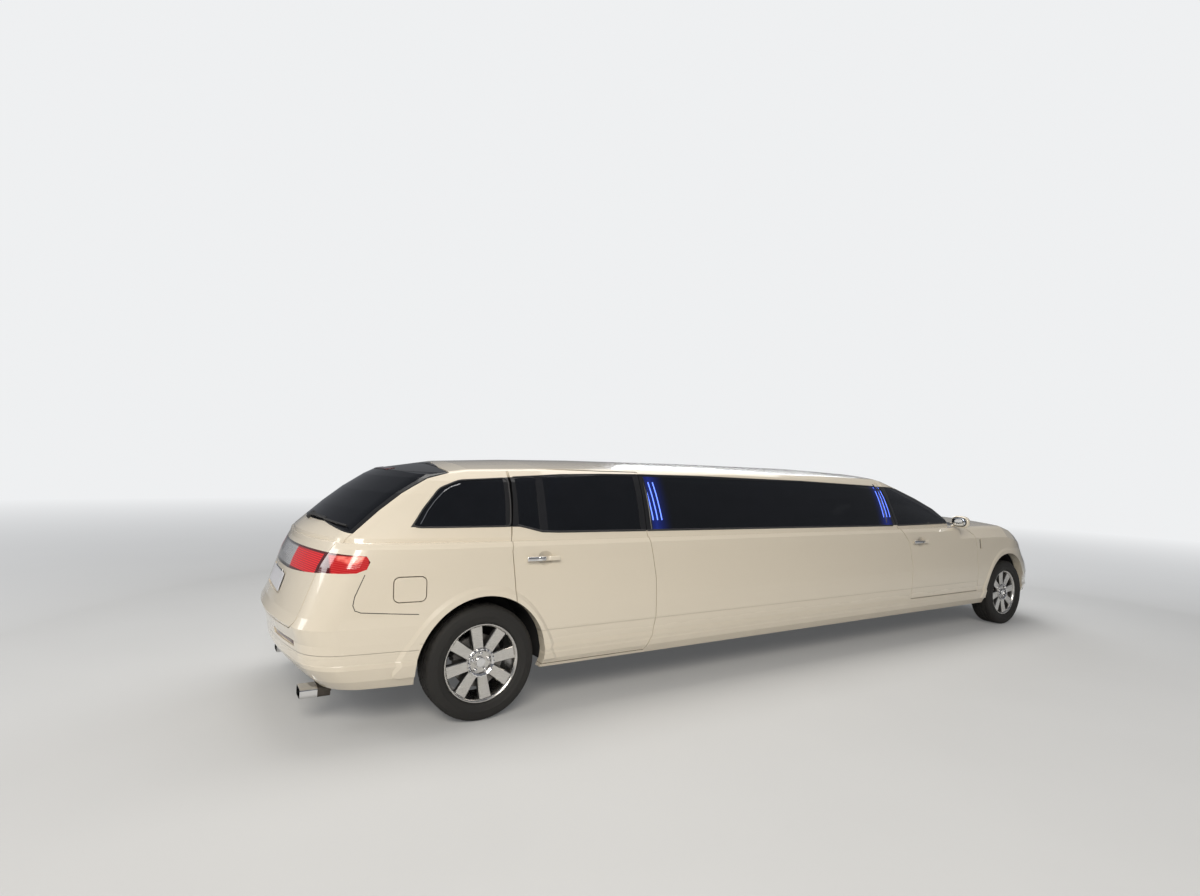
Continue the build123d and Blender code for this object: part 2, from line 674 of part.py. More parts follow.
RAIL_Y = 420
RAIL_HALF = 40
RAIL_Z = FLOOR_Z - 90
keep("frame_rails", Compound(children=[
    block((REAR_AXLE + 300, y - RAIL_HALF, RAIL_Z),
          (FRONT_AXLE - 300, y + RAIL_HALF, FLOOR_Z + SEAT_GAP))
    for y in (-RAIL_Y, RAIL_Y)
]))
keep("engine_block", block((FRONT_AXLE - 260, -300, FLOOR_TOP - SEAT_GAP),
                           (FRONT_AXLE + 420, 300, 900)))
FIREWALL_X = FRONT_AXLE - 620
FIREWALL = 20
firewall = tight & hood(HOOD_WALL - SEAT_GAP)
keep("firewall", firewall & block((FIREWALL_X, -FAR, FLOOR_TOP - SEAT_GAP),
                                  (FIREWALL_X + FIREWALL, FAR, FAR)))

# Steering wheel on its column, which stands out of the dashboard
WHEEL_TILT = 25
WHEEL_Y = 380
WHEEL_Z = 960
WHEEL_RADIUS = 185
COLUMN_RADIUS = 10
column_place = Pos(FRONT_AXLE - 1320, WHEEL_Y, WHEEL_Z) * Rot(0, -90 + WHEEL_TILT, 0)
with BuildPart() as steering:
    Cylinder(WHEEL_RADIUS + 13, 24)
    Cylinder(WHEEL_RADIUS - 13, 24, mode=Mode.SUBTRACT)
    Cylinder(50, 34)
    with PolarLocations(0, 3, start_angle=60):
        with Locations((WHEEL_RADIUS / 2, 0, 0)):
            Box(WHEEL_RADIUS - 4, 34, 12)
    Cylinder(COLUMN_RADIUS + RUNNING, 100, mode=Mode.SUBTRACT)
keep("steering_wheel", column_place * steering.part)
column = column_place * Pos(0, 0, -120) * Cylinder(COLUMN_RADIUS, 270)
DASHBOARD = front_of([(-1150, 740), (-1190, 860), (-1165, 985), (-1080, 1045), (-900, 1072),
                      (-620 + SEAT_GAP, 1080), (-620 + SEAT_GAP, 740)])
DASH_HALF = 790
CONSOLE_HALF = 100
dash = side_cut(DASHBOARD, near=-DASH_HALF, far=DASH_HALF)
console = block((FRONT_AXLE - 1950, -CONSOLE_HALF, FLOOR_TOP - SEAT_GAP),
                (FRONT_AXLE - 1000, CONSOLE_HALF, FLOOR_TOP + 290))
keep("dashboard", dash + [column, console, block(
    (FRONT_AXLE - 1100, -CONSOLE_HALF, FLOOR_TOP), (FRONT_AXLE - 900, CONSOLE_HALF, 760))])

# Partition behind the front seats
PARTITION_X = FRONT_AXLE - 2200
PARTITION = 40
bulkhead = tight + (cabin(CABIN_WALL - SEAT_GAP) & roof(CABIN_WALL - SEAT_GAP))
bulkhead = bulkhead & block((PARTITION_X - PARTITION, -FAR, FLOOR_TOP - SEAT_GAP),
                            (PARTITION_X, FAR, FAR))
keep("partition", bulkhead - block((PARTITION_X - 2 * PARTITION, -450, 1050),
                                   (PARTITION_X + PARTITION, 450, 1380)))


def seat(x, y, width):
    """A cushion with its back."""
    cushion = block((x - 260, y - width / 2, FLOOR_TOP - SEAT_GAP),
                    (x + 260, y + width / 2, FLOOR_TOP + 330))
    back = block((x - 400, y - width / 2, FLOOR_TOP + 120), (x - 240, y + width / 2, FLOOR_TOP + 850))
    return cushion + back


keep("front_seats", Compound(children=[*seat(FRONT_AXLE - 1640, -380, 520).solids(),
                                       *seat(FRONT_AXLE - 1640, 380, 520).solids()]))
keep("rear_seat", seat(REAR_AXLE + 420, 0, 1080))
side_seat = block((REAR_AXLE + 1500, 330, FLOOR_TOP - SEAT_GAP),
                  (PARTITION_X - 300, 780, FLOOR_TOP + 330))
side_back = block((REAR_AXLE + 1500, 680, FLOOR_TOP + 200), (PARTITION_X - 300, 800, FLOOR_TOP + 760))
keep("side_seat", side_seat + side_back)

# Bar along the right side with open bins in its top
BAR_X = (REAR_AXLE + 1700, PARTITION_X - 400)
BAR_Y = (-800, -480)
BAR_Z = FLOOR_TOP + 520
BIN_COUNT = 4
BIN_STEP = (BAR_X[1] - BAR_X[0]) / BIN_COUNT
bins = [block((BAR_X[0] + (n + 0.15) * BIN_STEP, BAR_Y[0] + 60, BAR_Z - 150),
              (BAR_X[0] + (n + 0.85) * BIN_STEP, BAR_Y[1] - 60, BAR_Z + 10))
        for n in range(BIN_COUNT)]
keep("bar_console", block((BAR_X[0], BAR_Y[0], FLOOR_TOP - SEAT_GAP), (BAR_X[1], BAR_Y[1], BAR_Z)) - bins)

# Rear axle
SPINDLE_END = TRACK / 2 + HALF_RIM - 25
beam = across(REAR_AXLE, 42, 2 * (WELL_REAR - 20))
stubs = across(REAR_AXLE, HUB_BORE - RUNNING, 2 * SPINDLE_END)
trailing = [block((REAR_AXLE - 30, y - 20, RAIL_Z + 20),
                  (REAR_AXLE + 300 + SEAT_GAP, y + 20, FLOOR_Z + SEAT_GAP))
            for y in (-RAIL_Y, RAIL_Y)]
keep("rear_axle", beam + [stubs, *trailing])

# Front subframe with an upper and a lower arm to each kingpin
ARM_HALF = 40
ARM_LEVELS = (-140, -120, 120, 140)


def front_block(low_y, high_y, low, high):
    return block((FRONT_AXLE - ARM_HALF, low_y, TYRE_RADIUS + low),
                 (FRONT_AXLE + ARM_HALF, high_y, TYRE_RADIUS + high))


kingpin = Pos(FRONT_AXLE, -KINGPIN_Y, TYRE_RADIUS) * Cylinder(PIN_RADIUS, 300)
front_side = kingpin + [
    front_block(-KINGPIN_Y - 30, -RAIL_Y, ARM_LEVELS[2], ARM_LEVELS[3]),
    front_block(-KINGPIN_Y - 30, -RAIL_Y, ARM_LEVELS[0], ARM_LEVELS[1]),
    front_block(-RAIL_Y - 40, -RAIL_Y, ARM_LEVELS[0], ARM_LEVELS[3]),
]
link = block((FRONT_AXLE - 60, -RAIL_Y - 20, RAIL_Z + 10), (FRONT_AXLE + 60, RAIL_Y + 20, FLOOR_Z - 20))
tie = [block((FRONT_AXLE - 300 - SEAT_GAP, y - 20, RAIL_Z + 20), (FRONT_AXLE, y + 20, FLOOR_Z - 20))
       for y in (-RAIL_Y, RAIL_Y)]
keep("front_subframe", front_side + [left_of(front_side), link, *tie])

boss = Pos(FRONT_AXLE, -KINGPIN_Y, TYRE_RADIUS) * Cylinder(36, 220)
bore = Pos(FRONT_AXLE, -KINGPIN_Y, TYRE_RADIUS) * Cylinder(PIN_RADIUS + RUNNING, 400)
spindle = across(FRONT_AXLE, HUB_BORE - RUNNING, SPINDLE_END - KINGPIN_Y,
                 -(KINGPIN_Y + SPINDLE_END) / 2)
knuckle = (boss + spindle) - bore
keep("knuckle_right", knuckle)
keep("knuckle_left", left_of(knuckle))

# Wheels, modelled facing the car's left. The spokes widen from the hub to the rim
HUB_RADIUS = 98
SPOKE_INNER = 31
SPOKE_OUTER = 39
SPOKE_FACE = HALF_RIM - 14
with BuildPart() as rim:
    with BuildSketch(Plane.XY):
        with BuildLine():
            Polyline(
                (RIM_RADIUS - RIM_WALL, -HALF_RIM), (RIM_RADIUS, -HALF_RIM), (RIM_RADIUS, BEAD),
                (RIM_RADIUS + FLANGE, BEAD), (RIM_RADIUS + FLANGE, HALF_RIM),
                (RIM_RADIUS - RIM_WALL, HALF_RIM), close=True,
            )
        make_face()
    revolve(axis=Axis.Y)
    with BuildSketch(Plane.XZ.offset(-SPOKE_FACE)):
        with PolarLocations(0, SPOKES):
            Polygon(
                (HUB_RADIUS / 2, -SPOKE_INNER), (RIM_RADIUS - RIM_WALL / 2, -SPOKE_OUTER),
                (RIM_RADIUS - RIM_WALL / 2, SPOKE_OUTER), (HUB_RADIUS / 2, SPOKE_INNER), align=None,
            )
        Circle(HUB_RADIUS)
    extrude(amount=SPOKE_DEPTH)
    with Locations(Rot(90, 0, 0)):
        Cylinder(HUB_BORE, 1000, mode=Mode.SUBTRACT)

with BuildPart() as tyre:
    with BuildSketch(Plane.XY):
        with BuildLine():
            Polyline(
                (RIM_RADIUS - SEAT_GAP, -BEAD), (TYRE_RADIUS - 38, -TYRE_WIDTH / 2),
                (TYRE_RADIUS, -TYRE_WIDTH / 2 + 30), (TYRE_RADIUS, TYRE_WIDTH / 2 - 30),
                (TYRE_RADIUS - 38, TYRE_WIDTH / 2), (RIM_RADIUS + FLANGE + 2, BEAD + 2),
                (RIM_RADIUS + FLANGE + 2, BEAD - SEAT_GAP), (RIM_RADIUS - SEAT_GAP, BEAD - SEAT_GAP),
                close=True,
            )
        make_face()
    revolve(axis=Axis.Y)

for place, x in (("rear", REAR_AXLE), ("front", FRONT_AXLE)):
    for side, turn, y in (("right", 180, -TRACK / 2), ("left", 0, TRACK / 2)):
        spot = Pos(x, y, TYRE_RADIUS) * Rot(0, 0, turn)
        keep("rim_" + place + "_" + side, spot * rim.part)
        keep("tyre_" + place + "_" + side, spot * tyre.part)

# Door mirrors: a housing bulged forwards with rounded corners, on a foot from the door
MIRROR = (FRONT_AXLE - 1130, -1015, 1228)
MIRROR_WIDTH = 165
MIRROR_HEIGHT = 118
MIRROR_DEPTH = 105
with BuildPart() as mirror_body:
    with BuildSketch(Plane.YZ.offset(MIRROR[0])):
        with Locations(MIRROR[1:]):
            RectangleRounded(MIRROR_WIDTH, MIRROR_HEIGHT, 32)
    extrude(amount=MIRROR_DEPTH)
    with BuildSketch(Plane.XY.offset(MIRROR[2] - MIRROR_HEIGHT)):
        with BuildLine():
            outer = (MIRROR[0] + 20, MIRROR[1] - MIRROR_WIDTH / 2)
            inner = (MIRROR[0] + 75, MIRROR[1] + MIRROR_WIDTH / 2)
            ThreePointArc(outer, (MIRROR[0] + MIRROR_DEPTH, MIRROR[1] + 15), inner)
            Polyline(inner, (MIRROR[0], inner[1]), (MIRROR[0], outer[1]), outer)
        make_face()
    extrude(amount=2 * MIRROR_HEIGHT, mode=Mode.INTERSECT)
    with Locations((MIRROR[0] + 50, -938, 1172)):
        Box(60, 50, 60)
keep("mirror_right", mirror_body.part)
keep("mirror_left", left_of(mirror_body.part))

# Exhaust: a pipe from the engine to a cross silencer with a flat tip at each side
PIPE_RADIUS = 25
PIPE_Z = 268
TIP_X = (REAR_AXLE - 1035, REAR_AXLE - 860)
with BuildPart() as exhaust:
    with Locations(Pos(REAR_AXLE - 700, 0, PIPE_Z) * Rot(90, 0, 0)):
        Cylinder(60, 900)
    with Locations(Pos((REAR_AXLE - 700 + FRONT_AXLE - 300) / 2, -150, PIPE_Z) * Rot(0, 90, 0)):
        Cylinder(PIPE_RADIUS, FRONT_AXLE - REAR_AXLE + 400)
    for y in (-550, 550):
        with Locations((REAR_AXLE - 790, y * 0.78, PIPE_Z)):
            Box(200, 50, 40)
        with Locations((REAR_AXLE - 875, y * 0.9, PIPE_Z - 25)):
            Box(50, 180, 50)
        with BuildSketch(Plane.YZ.offset(TIP_X[0])):
            with Locations((y, PIPE_Z - 40)):
                RectangleRounded(130, 66, 20)
                RectangleRounded(122, 58, 16, mode=Mode.SUBTRACT)
        extrude(amount=TIP_X[1] - TIP_X[0])
    with Locations((REAR_AXLE - 700, -300, 310), (REAR_AXLE - 700, 300, 310)):
        Box(30, 30, 2 * (FLOOR_Z + SEAT_GAP - 310))
keep("exhaust", exhaust.part)
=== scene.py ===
"""Looks of the stretch limousine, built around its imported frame.

Metres. X runs forward, Y to the car's left and Z up from the ground, as in the frame.
"""

from math import cos, pi, radians, sin

import bmesh
import bpy
from mathutils import Matrix, Vector
from mathutils.bvhtree import BVHTree

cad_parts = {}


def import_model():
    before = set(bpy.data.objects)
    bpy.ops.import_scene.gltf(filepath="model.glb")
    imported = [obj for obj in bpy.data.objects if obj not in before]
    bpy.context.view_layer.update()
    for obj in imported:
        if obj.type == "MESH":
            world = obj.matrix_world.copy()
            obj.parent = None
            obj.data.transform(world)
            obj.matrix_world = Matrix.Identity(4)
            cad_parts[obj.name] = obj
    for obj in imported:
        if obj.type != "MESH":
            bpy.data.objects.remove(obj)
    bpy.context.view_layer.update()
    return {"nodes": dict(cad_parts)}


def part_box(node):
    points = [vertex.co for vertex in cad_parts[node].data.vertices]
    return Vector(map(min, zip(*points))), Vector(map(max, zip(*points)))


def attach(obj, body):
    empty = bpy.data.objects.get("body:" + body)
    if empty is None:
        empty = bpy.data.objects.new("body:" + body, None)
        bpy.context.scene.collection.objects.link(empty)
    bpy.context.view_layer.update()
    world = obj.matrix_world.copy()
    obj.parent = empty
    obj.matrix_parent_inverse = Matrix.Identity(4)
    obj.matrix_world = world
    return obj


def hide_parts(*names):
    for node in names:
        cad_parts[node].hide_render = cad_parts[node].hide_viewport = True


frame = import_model()
nodes = frame["nodes"]

REAR_AXLE = -3.1945
FRONT_AXLE = 3.3565
TYRE_RADIUS = 0.3705
TRACK = 1.661
SIDES = (("right", -1), ("left", 1))
ENDS = (("rear", REAR_AXLE), ("front", FRONT_AXLE))


# Shader expressions


class Wire:
    """A shader socket that works in Python expressions: each operation adds a Math node."""

    def __init__(self, finish, socket):
        self.finish = finish
        self.socket = socket

    def maths(self, operation, *others):
        return self.finish.node("ShaderNodeMath", {"operation": operation}, self, *others)[0]

    def __add__(self, other):
        return self.maths("ADD", other)

    __radd__ = __add__

    def __sub__(self, other):
        return self.maths("SUBTRACT", other)

    def __rsub__(self, other):
        return self.finish.node("ShaderNodeMath", {"operation": "SUBTRACT"}, other, self)[0]

    def __mul__(self, other):
        return self.maths("MULTIPLY", other)

    __rmul__ = __mul__

    def __gt__(self, other):
        return self.maths("GREATER_THAN", other)

    def __lt__(self, other):
        return self.maths("LESS_THAN", other)

    def __abs__(self):
        return self.maths("ABSOLUTE")

    def clamped(self):
        settings = {"operation": "ADD", "use_clamp": True}
        return self.finish.node("ShaderNodeMath", settings, self, 0.0)[0]

    def wave(self):
        return self.maths("SINE")

    def least(self, other):
        return self.maths("MINIMUM", other)

    def most(self, other):
        return self.maths("MAXIMUM", other)

    def power(self, other):
        return self.maths("POWER", other)


class Finish:
    """A material under construction: its nodes, its coordinates and its surface shader."""

    def __init__(self, name, **constants):
        self.material = bpy.data.materials.new(name)
        self.material.use_nodes = True
        self.tree = self.material.node_tree
        self.tree.nodes.clear()
        self.output = self.tree.nodes.new("ShaderNodeOutputMaterial")
        self.surface = self.tree.nodes.new("ShaderNodeBsdfPrincipled")
        self.tree.links.new(self.surface.outputs[0], self.output.inputs["Surface"])
        self.set(**constants)

    def node(self, kind, settings=None, *values, **named):
        """A new node: its settings, then values or links for its sockets, by place or by name."""
        made = self.tree.nodes.new(kind)
        for key, value in (settings or {}).items():
            setattr(made, key, value)
        for index, value in enumerate(values):
            self.put(made.inputs[index], value)
        for key, value in named.items():
            self.put(made.inputs[key.replace("_", " ")], value)
        return [Wire(self, s) for s in made.outputs]

    def put(self, socket, value):
        """Link a wire to a socket, or set the socket's own value."""
        if isinstance(value, Wire):
            self.tree.links.new(value.socket, socket)
        elif isinstance(value, tuple) and len(value) == 3 and socket.type == "RGBA":
            socket.default_value = (*value, 1)
        else:
            socket.default_value = value

    def set(self, **values):
        """Feed the surface shader's sockets, named with underscores for spaces."""
        for key, value in values.items():
            self.put(self.surface.inputs[key.replace("_", " ")], value)

    def place(self, scale=(1, 1, 1)):
        """Object coordinates, scaled."""
        coordinates = self.node("ShaderNodeTexCoord")[3]
        return self.node("ShaderNodeMapping", None, coordinates, Scale=scale)[0]

    def axes(self):
        """Object coordinates as three wires."""
        coordinates = self.node("ShaderNodeTexCoord")[3]
        return self.node("ShaderNodeSeparateXYZ", None, coordinates)

    def noise(self, scale, detail, stretch=(1, 1, 1)):
        """Cloudy noise from 0 to 1."""
        place = self.place(stretch)
        return self.node("ShaderNodeTexNoise", None, place, Scale=scale, Detail=detail, Roughness=0.5)[0]

    def mix(self, factor, low, high):
        """A colour between two others."""
        made = self.tree.nodes.new("ShaderNodeMix")
        made.data_type = "RGBA"
        for index, value in ((0, factor), (6, low), (7, high)):
            self.put(made.inputs[index], value)
        return Wire(self, made.outputs[2])

    def bump(self, height, distance, strength):
        """Relief in the surface's normals, from a height and its distance in metres."""
        made = self.node("ShaderNodeBump", None, Strength=strength, Distance=distance, Height=height)
        self.set(Normal=made[0])
        return self

    @staticmethod
    def shade(wire, low, high):
        """A value between two numbers, led by a wire from 0 to 1."""
        return wire * (high - low) + low


def slope(x, first, second):
    """The line through two (station, height) points; the station is counted from the rear axle."""
    rise = (second[1] - first[1]) / (second[0] - first[0])
    return (x - (REAR_AXLE + first[0])) * rise + first[1]


# Door handles: end, station and height of the grip's middle.
HANDLES = (("rear", REAR_AXLE + 0.395, 1.035), ("front", FRONT_AXLE - 1.775, 1.020))
BOWLS = [(x + 0.025, z - 0.002) for _, x, z in HANDLES]
# Upper edge of the black window band, as stations from the rear axle and heights.
BAND_TOP = [
    (-0.456, 1.255), (-0.389, 1.347), (-0.263, 1.490), (-0.128, 1.545), (0.206, 1.570), (0.620, 1.601),
    (0.970, 1.613), (1.340, 1.620), (1.960, 1.620), (3.180, 1.605), (4.230, 1.575), (4.570, 1.565),
    (4.770, 1.544), (5.046, 1.450), (5.433, 1.308), (5.677, 1.194),
]


def side_band(x, y, z):
    """1 inside the black band of pillars and window frames along the car's side."""
    top = slope(x, BAND_TOP[0], BAND_TOP[1])
    for first, second in zip(BAND_TOP[1:], BAND_TOP[2:]):
        top = top.least(slope(x, first, second))
    foot = slope(x, (0.240, 1.250), (0.412, 1.209)).least(1.243)
    foot = foot.most(slope(x, (0.540, 1.2050), (5.700, 1.1840)))
    return (z > foot) * (z < top) * (abs(y) > 0.55)


def rear_cap(x, y, z):
    """1 on the black rear edge of the roof, which runs further forward in the middle."""
    return (x < abs(y) * -0.155 + (REAR_AXLE - 0.115)) * (abs(y) < 0.60)


def roof_band(x, y, z):
    """1 on the roof's share of the side bands and on its black rear edge."""
    return side_band(x, y, z).most(rear_cap(x, y, z))


def gate_band(x, y, z):
    """1 on the black frame around the rear glass."""
    return z > (abs(y) * -0.1217 + (1.247 + 0.35 * 0.1217)).least(1.247)


def crease(z, height, width):
    """A pressed step across a height, from 0 below to 1 above."""
    rise = ((z - height) * (1 / width) + 0.5).clamped()
    return rise * rise * (3 - rise * 2)


def tail_relief(x, y, z):
    """Two creases low around the tail: their height and depth, and no bowls."""
    low = crease(z, 0.512, 0.006) * 0.7 + crease(z, 0.448, 0.010) * -0.5
    return low * (x < REAR_AXLE), 0.006, None


def side_relief(x, y, z):
    """Two creases low in the side and the bowls behind the handles: height, depth and the bowls' mask,
    which also paints shade into the recesses.
    """
    low = crease(z, 0.548, 0.012) * 0.7 + crease(z, 0.392, 0.016) * -0.8
    bowl_and_shade = 0.0
    for across, up in BOWLS:
        far = ((x - across) * 17).power(2.0) + ((z - up) * 20).power(2.0)
        bowl_and_shade = (1 - far).clamped() + bowl_and_shade
    bowl_and_shade = bowl_and_shade * (abs(y) > 0.90)
    return bowl_and_shade * -1.0 + low * 0.35, 0.016, bowl_and_shade


def paint(name, black=None, relief=None):
    """Warm white pearl paint under a clear coat, with black bands and pressed relief where asked, and
    painted shade in the handles' recesses where the relief gives the bowls' mask.
    """
    f = Finish(name, Coat_Roughness=0.03, Coat_IOR=1.5, Metallic=0.0)
    flake = f.noise(900, 1.0)
    cloud = f.noise(1.3, 3.0)
    x, y, z = f.axes()
    dust = (1 - z * 1.9).clamped() * f.noise(5, 5.0)
    tone = f.mix(f.shade(cloud, 0.0, 0.35), (0.78, 0.705, 0.575), (0.745, 0.665, 0.54))
    sparkle = f.mix((flake * 6 - 3.6).clamped() * 0.18, tone, (0.98, 0.93, 0.84))
    colour = f.mix(dust * 0.55, sparkle, (0.42, 0.36, 0.28))
    rough = f.shade((dust * 1.4).clamped(), 0.26, 0.55)
    coat = f.shade(dust, 1.0, 0.6)
    if black:
        mask = black(x, y, z)
        colour = f.mix(mask, colour, f.mix(cloud, (0.006, 0.006, 0.007), (0.012, 0.012, 0.013)))
        rough = rough + mask * 0.06
        coat = coat - mask * 0.55
    height, depth, strength = flake, 0.00002, 0.2
    if relief:
        height, depth, bowl_and_shade = relief(x, y, z)
        strength = 1.0
        # Painted shade: the paint is darkened and browned towards the middle of the recesses behind the
        # door handles.
        if bowl_and_shade is not None:
            colour = f.mix(bowl_and_shade * 0.35, colour, (0.36, 0.31, 0.25))
    f.set(Base_Color=colour, Roughness=rough, Coat_Weight=coat)
    return f.bump(height, depth, strength)


def black_gloss():
    """Black gloss on pillars and window frames."""
    f = Finish("pillar_black", Coat_Weight=0.6, Coat_Roughness=0.05)
    grain = f.noise(40, 4.0)
    f.set(Base_Color=f.mix(grain, (0.006, 0.006, 0.007), (0.012, 0.012, 0.014)))
    f.set(Roughness=f.shade(grain, 0.12, 0.24))
    return f


def black_plastic(name="moulded_black", low=0.018, high=0.032, rough=0.55):
    """Grained black plastic."""
    f = Finish(name)
    grain = f.noise(420, 2.0)
    cloud = f.noise(7, 3.0)
    f.set(Base_Color=f.mix(cloud, (low, low, low * 1.05), (high, high, high * 1.05)))
    f.set(Roughness=f.shade(grain, rough - 0.08, rough + 0.1))
    return f.bump(grain, 0.00025, 0.5)


def tyre_rubber():
    """Black rubber with a little dust in its sides."""
    f = Finish("tyre_rubber")
    cloud = f.noise(9, 5.0)
    grain = f.noise(260, 2.0)
    f.set(Base_Color=f.mix(cloud, (0.010, 0.0096, 0.0092), (0.024, 0.0225, 0.0205)))
    f.set(Roughness=f.shade(cloud, 0.62, 0.86))
    return f.bump(grain, 0.0003, 0.5)


def machined_alloy():
    """Bright turned alloy of the rim's face."""
    f = Finish("machined_alloy", Metallic=1.0)
    cloud = f.noise(22, 4.0)
    lines = f.noise(3, 2.0, (1, 60, 260))
    f.set(Base_Color=f.mix(cloud, (0.74, 0.73, 0.71), (0.6, 0.58, 0.55)))
    f.set(Roughness=f.shade(lines, 0.17, 0.34))
    return f.bump(lines, 0.00006, 0.4)


def chrome():
    """Bright plated metal with faint smears."""
    f = Finish("plated_chrome", Metallic=1.0)
    smear = f.noise(16, 4.0)
    f.set(Base_Color=f.mix(smear, (0.86, 0.86, 0.87), (0.72, 0.72, 0.73)))
    f.set(Roughness=f.shade(smear, 0.04, 0.13))
    return f


def cast_metal():
    """Dull grey metal under the body."""
    f = Finish("chassis_metal", Metallic=0.6)
    cloud = f.noise(14, 5.0)
    f.set(Base_Color=f.mix(cloud, (0.05, 0.05, 0.052), (0.12, 0.11, 0.1)))
    f.set(Roughness=f.shade(cloud, 0.45, 0.75))
    return f.bump(f.noise(160, 3.0), 0.0004, 0.5)


def dark_alloy():
    """Grey painted alloy in the wheel's depths, browned by brake dust."""
    f = Finish("dark_alloy", Metallic=0.7)
    cloud = f.noise(30, 5.0)
    f.set(Base_Color=f.mix(cloud, (0.10, 0.10, 0.10), (0.035, 0.032, 0.030)))
    f.set(Roughness=f.shade(cloud, 0.35, 0.7))
    return f.bump(f.noise(300, 2.0), 0.0002, 0.4)


def brake_steel():
    """Ground brake disc with circular wear lines."""
    f = Finish("brake_steel", Metallic=1.0)
    cloud = f.noise(12, 4.0)
    f.set(Base_Color=f.mix(cloud, (0.34, 0.33, 0.32), (0.20, 0.18, 0.16)))
    f.set(Roughness=f.shade(cloud, 0.3, 0.5))
    return f


def exhaust_steel():
    """Chrome at the tail pipes' mouths, dull steel further forward."""
    f = Finish("exhaust_steel", Metallic=1.0)
    tip = f.axes()[0] < (REAR_AXLE - 0.935)
    cloud = f.noise(18, 4.0)
    dull = f.mix(cloud, (0.16, 0.145, 0.13), (0.07, 0.06, 0.052))
    bright = f.mix(cloud, (0.86, 0.86, 0.87), (0.70, 0.70, 0.71))
    dull_rough, bright_rough = f.shade(cloud, 0.45, 0.65), f.shade(cloud, 0.05, 0.12)
    f.set(Base_Color=f.mix(tip, dull, bright))
    f.set(Roughness=dull_rough + (bright_rough - dull_rough) * tip)
    return f


def mirror_glass():
    """Silvered mirror glass."""
    f = Finish("mirror_glass", Metallic=1.0)
    smear = f.noise(20, 3.0)
    f.set(Base_Color=f.mix(smear, (0.82, 0.85, 0.88), (0.76, 0.79, 0.83)))
    f.set(Roughness=f.shade(smear, 0.01, 0.05))
    return f


GLOW_STATIONS = (REAR_AXLE + 1.405, REAR_AXLE + 4.310)


def tinted_glass(name="tinted_glass", glow=False):
    """Nearly black privacy glass, with a blue glow around the light strips behind the long panes."""
    f = Finish(name, IOR=1.38, Coat_Weight=0.1, Coat_Roughness=0.02)
    smear = f.noise(6, 3.0)
    f.set(Base_Color=f.mix(smear, (0.004, 0.005, 0.007), (0.008, 0.009, 0.012)))
    f.set(Roughness=f.shade(smear, 0.02, 0.06), Alpha=f.shade(smear, 0.95, 0.93))
    if glow:
        x, y, _ = f.axes()
        rear, front = GLOW_STATIONS
        near = abs((x - rear) * 6)
        far = abs((x - front) * 6)
        light = (1 - near).clamped().power(2.0).most((1 - far).clamped().power(2.0))
        f.set(Emission_Color=f.mix(light * (abs(y) > 0.5), (0, 0, 0), (0.01, 0.03, 0.32)))
        f.set(Emission_Strength=0.55)
    f.material.surface_render_method = "BLENDED"
    return f


def clear_glass():
    """Lightly tinted glass of the windshield."""
    f = Finish("screen_glass", IOR=1.52)
    smear = f.noise(5, 3.0)
    f.set(Base_Color=f.mix(smear, (0.012, 0.016, 0.017), (0.02, 0.026, 0.027)))
    f.set(Roughness=f.shade(smear, 0.01, 0.04), Alpha=0.62)
    f.material.surface_render_method = "BLENDED"
    return f


LENS_FOOT, LENS_TOP = 0.964, 1.076


def red_lens(name, gate):
    """Red tail lamp lens, lit from within.

    The gate's has fine bars and a clear fluted middle whose flutes carry painted white glints of
    reflection, and the quarters' have lighter chambers.
    """
    f = Finish(name, Coat_Weight=1.0, Coat_Roughness=0.03)
    x, y, z = f.axes()
    bars = ((z * 520 + x * 60).wave() * 0.5 + 0.5).power(2.0)
    edge = ((z - LENS_TOP) * 120).clamped().most(((LENS_FOOT - z) * 120).clamped())
    if gate:
        glow = bars * 0.8
        edge = edge.most(((abs(y) - 0.680) * 150).clamped())
        bright, lit = (0.66, 0.014, 0.014), (0.80, 0.015, 0.018)
    else:
        cells = f.node("ShaderNodeTexVoronoi", {"feature": "SMOOTH_F1"}, f.place(), Scale=12.0)[0]
        glow = ((0.44 - cells) * 6).clamped() * (f.noise(14, 2.0) * 4 - 1.2).clamped() + bars * 0.1
        edge = edge.most(((REAR_AXLE - 0.925 - x) * 90).clamped())
        edge = edge.most(((x - (REAR_AXLE - 0.735)) * 120).clamped())
        bright, lit = (1.0, 0.26, 0.20), (1.0, 0.20, 0.15)
    glow = glow.clamped()
    colour = f.mix(edge, f.mix(glow, (0.36, 0.004, 0.006), bright), (0.07, 0.001, 0.002))
    light = f.mix(edge, f.mix(glow, (0.30, 0.0, 0.003), lit), (0.03, 0.0, 0.0))
    rough = 0.14
    if gate:
        clear = ((0.285 - abs(y)) * 60).clamped()
        # Painted reflection: the clear middle's flutes are coloured from grey to near white, standing in
        # for glints of light on the reverse lamp.
        flutes = ((y * 420).wave() * 0.5 + 0.5).power(1.5) * 0.7 + f.noise(45, 2.0) * 0.3
        white = f.mix(flutes, (0.22, 0.22, 0.23), (0.92, 0.92, 0.93))
        colour = f.mix(clear, colour, f.mix(edge, white, (0.05, 0.04, 0.04)))
        light = f.mix(clear, light, (0.06, 0.06, 0.06))
        rough = f.shade(clear, 0.14, 0.06)
        f.set(Metallic=clear * 0.25)
    f.set(Base_Color=colour, Roughness=rough, Emission_Color=light, Emission_Strength=0.6)
    return f.bump(bars, 0.0004, 0.4)


def clear_lens():
    """Clear lamp lens over a bright reflector."""
    f = Finish("clear_lens", Coat_Weight=1.0, Coat_Roughness=0.02)
    _, y, z = f.axes()
    flutes = ((y * 900).wave() * 0.5 + 0.5) * ((z * 500).wave() * 0.5 + 0.5)
    f.set(Base_Color=f.mix(flutes, (0.62, 0.64, 0.66), (0.86, 0.88, 0.9)), Metallic=0.35)
    f.set(Roughness=f.shade(flutes, 0.08, 0.25))
    return f.bump(flutes, 0.0006, 0.6)


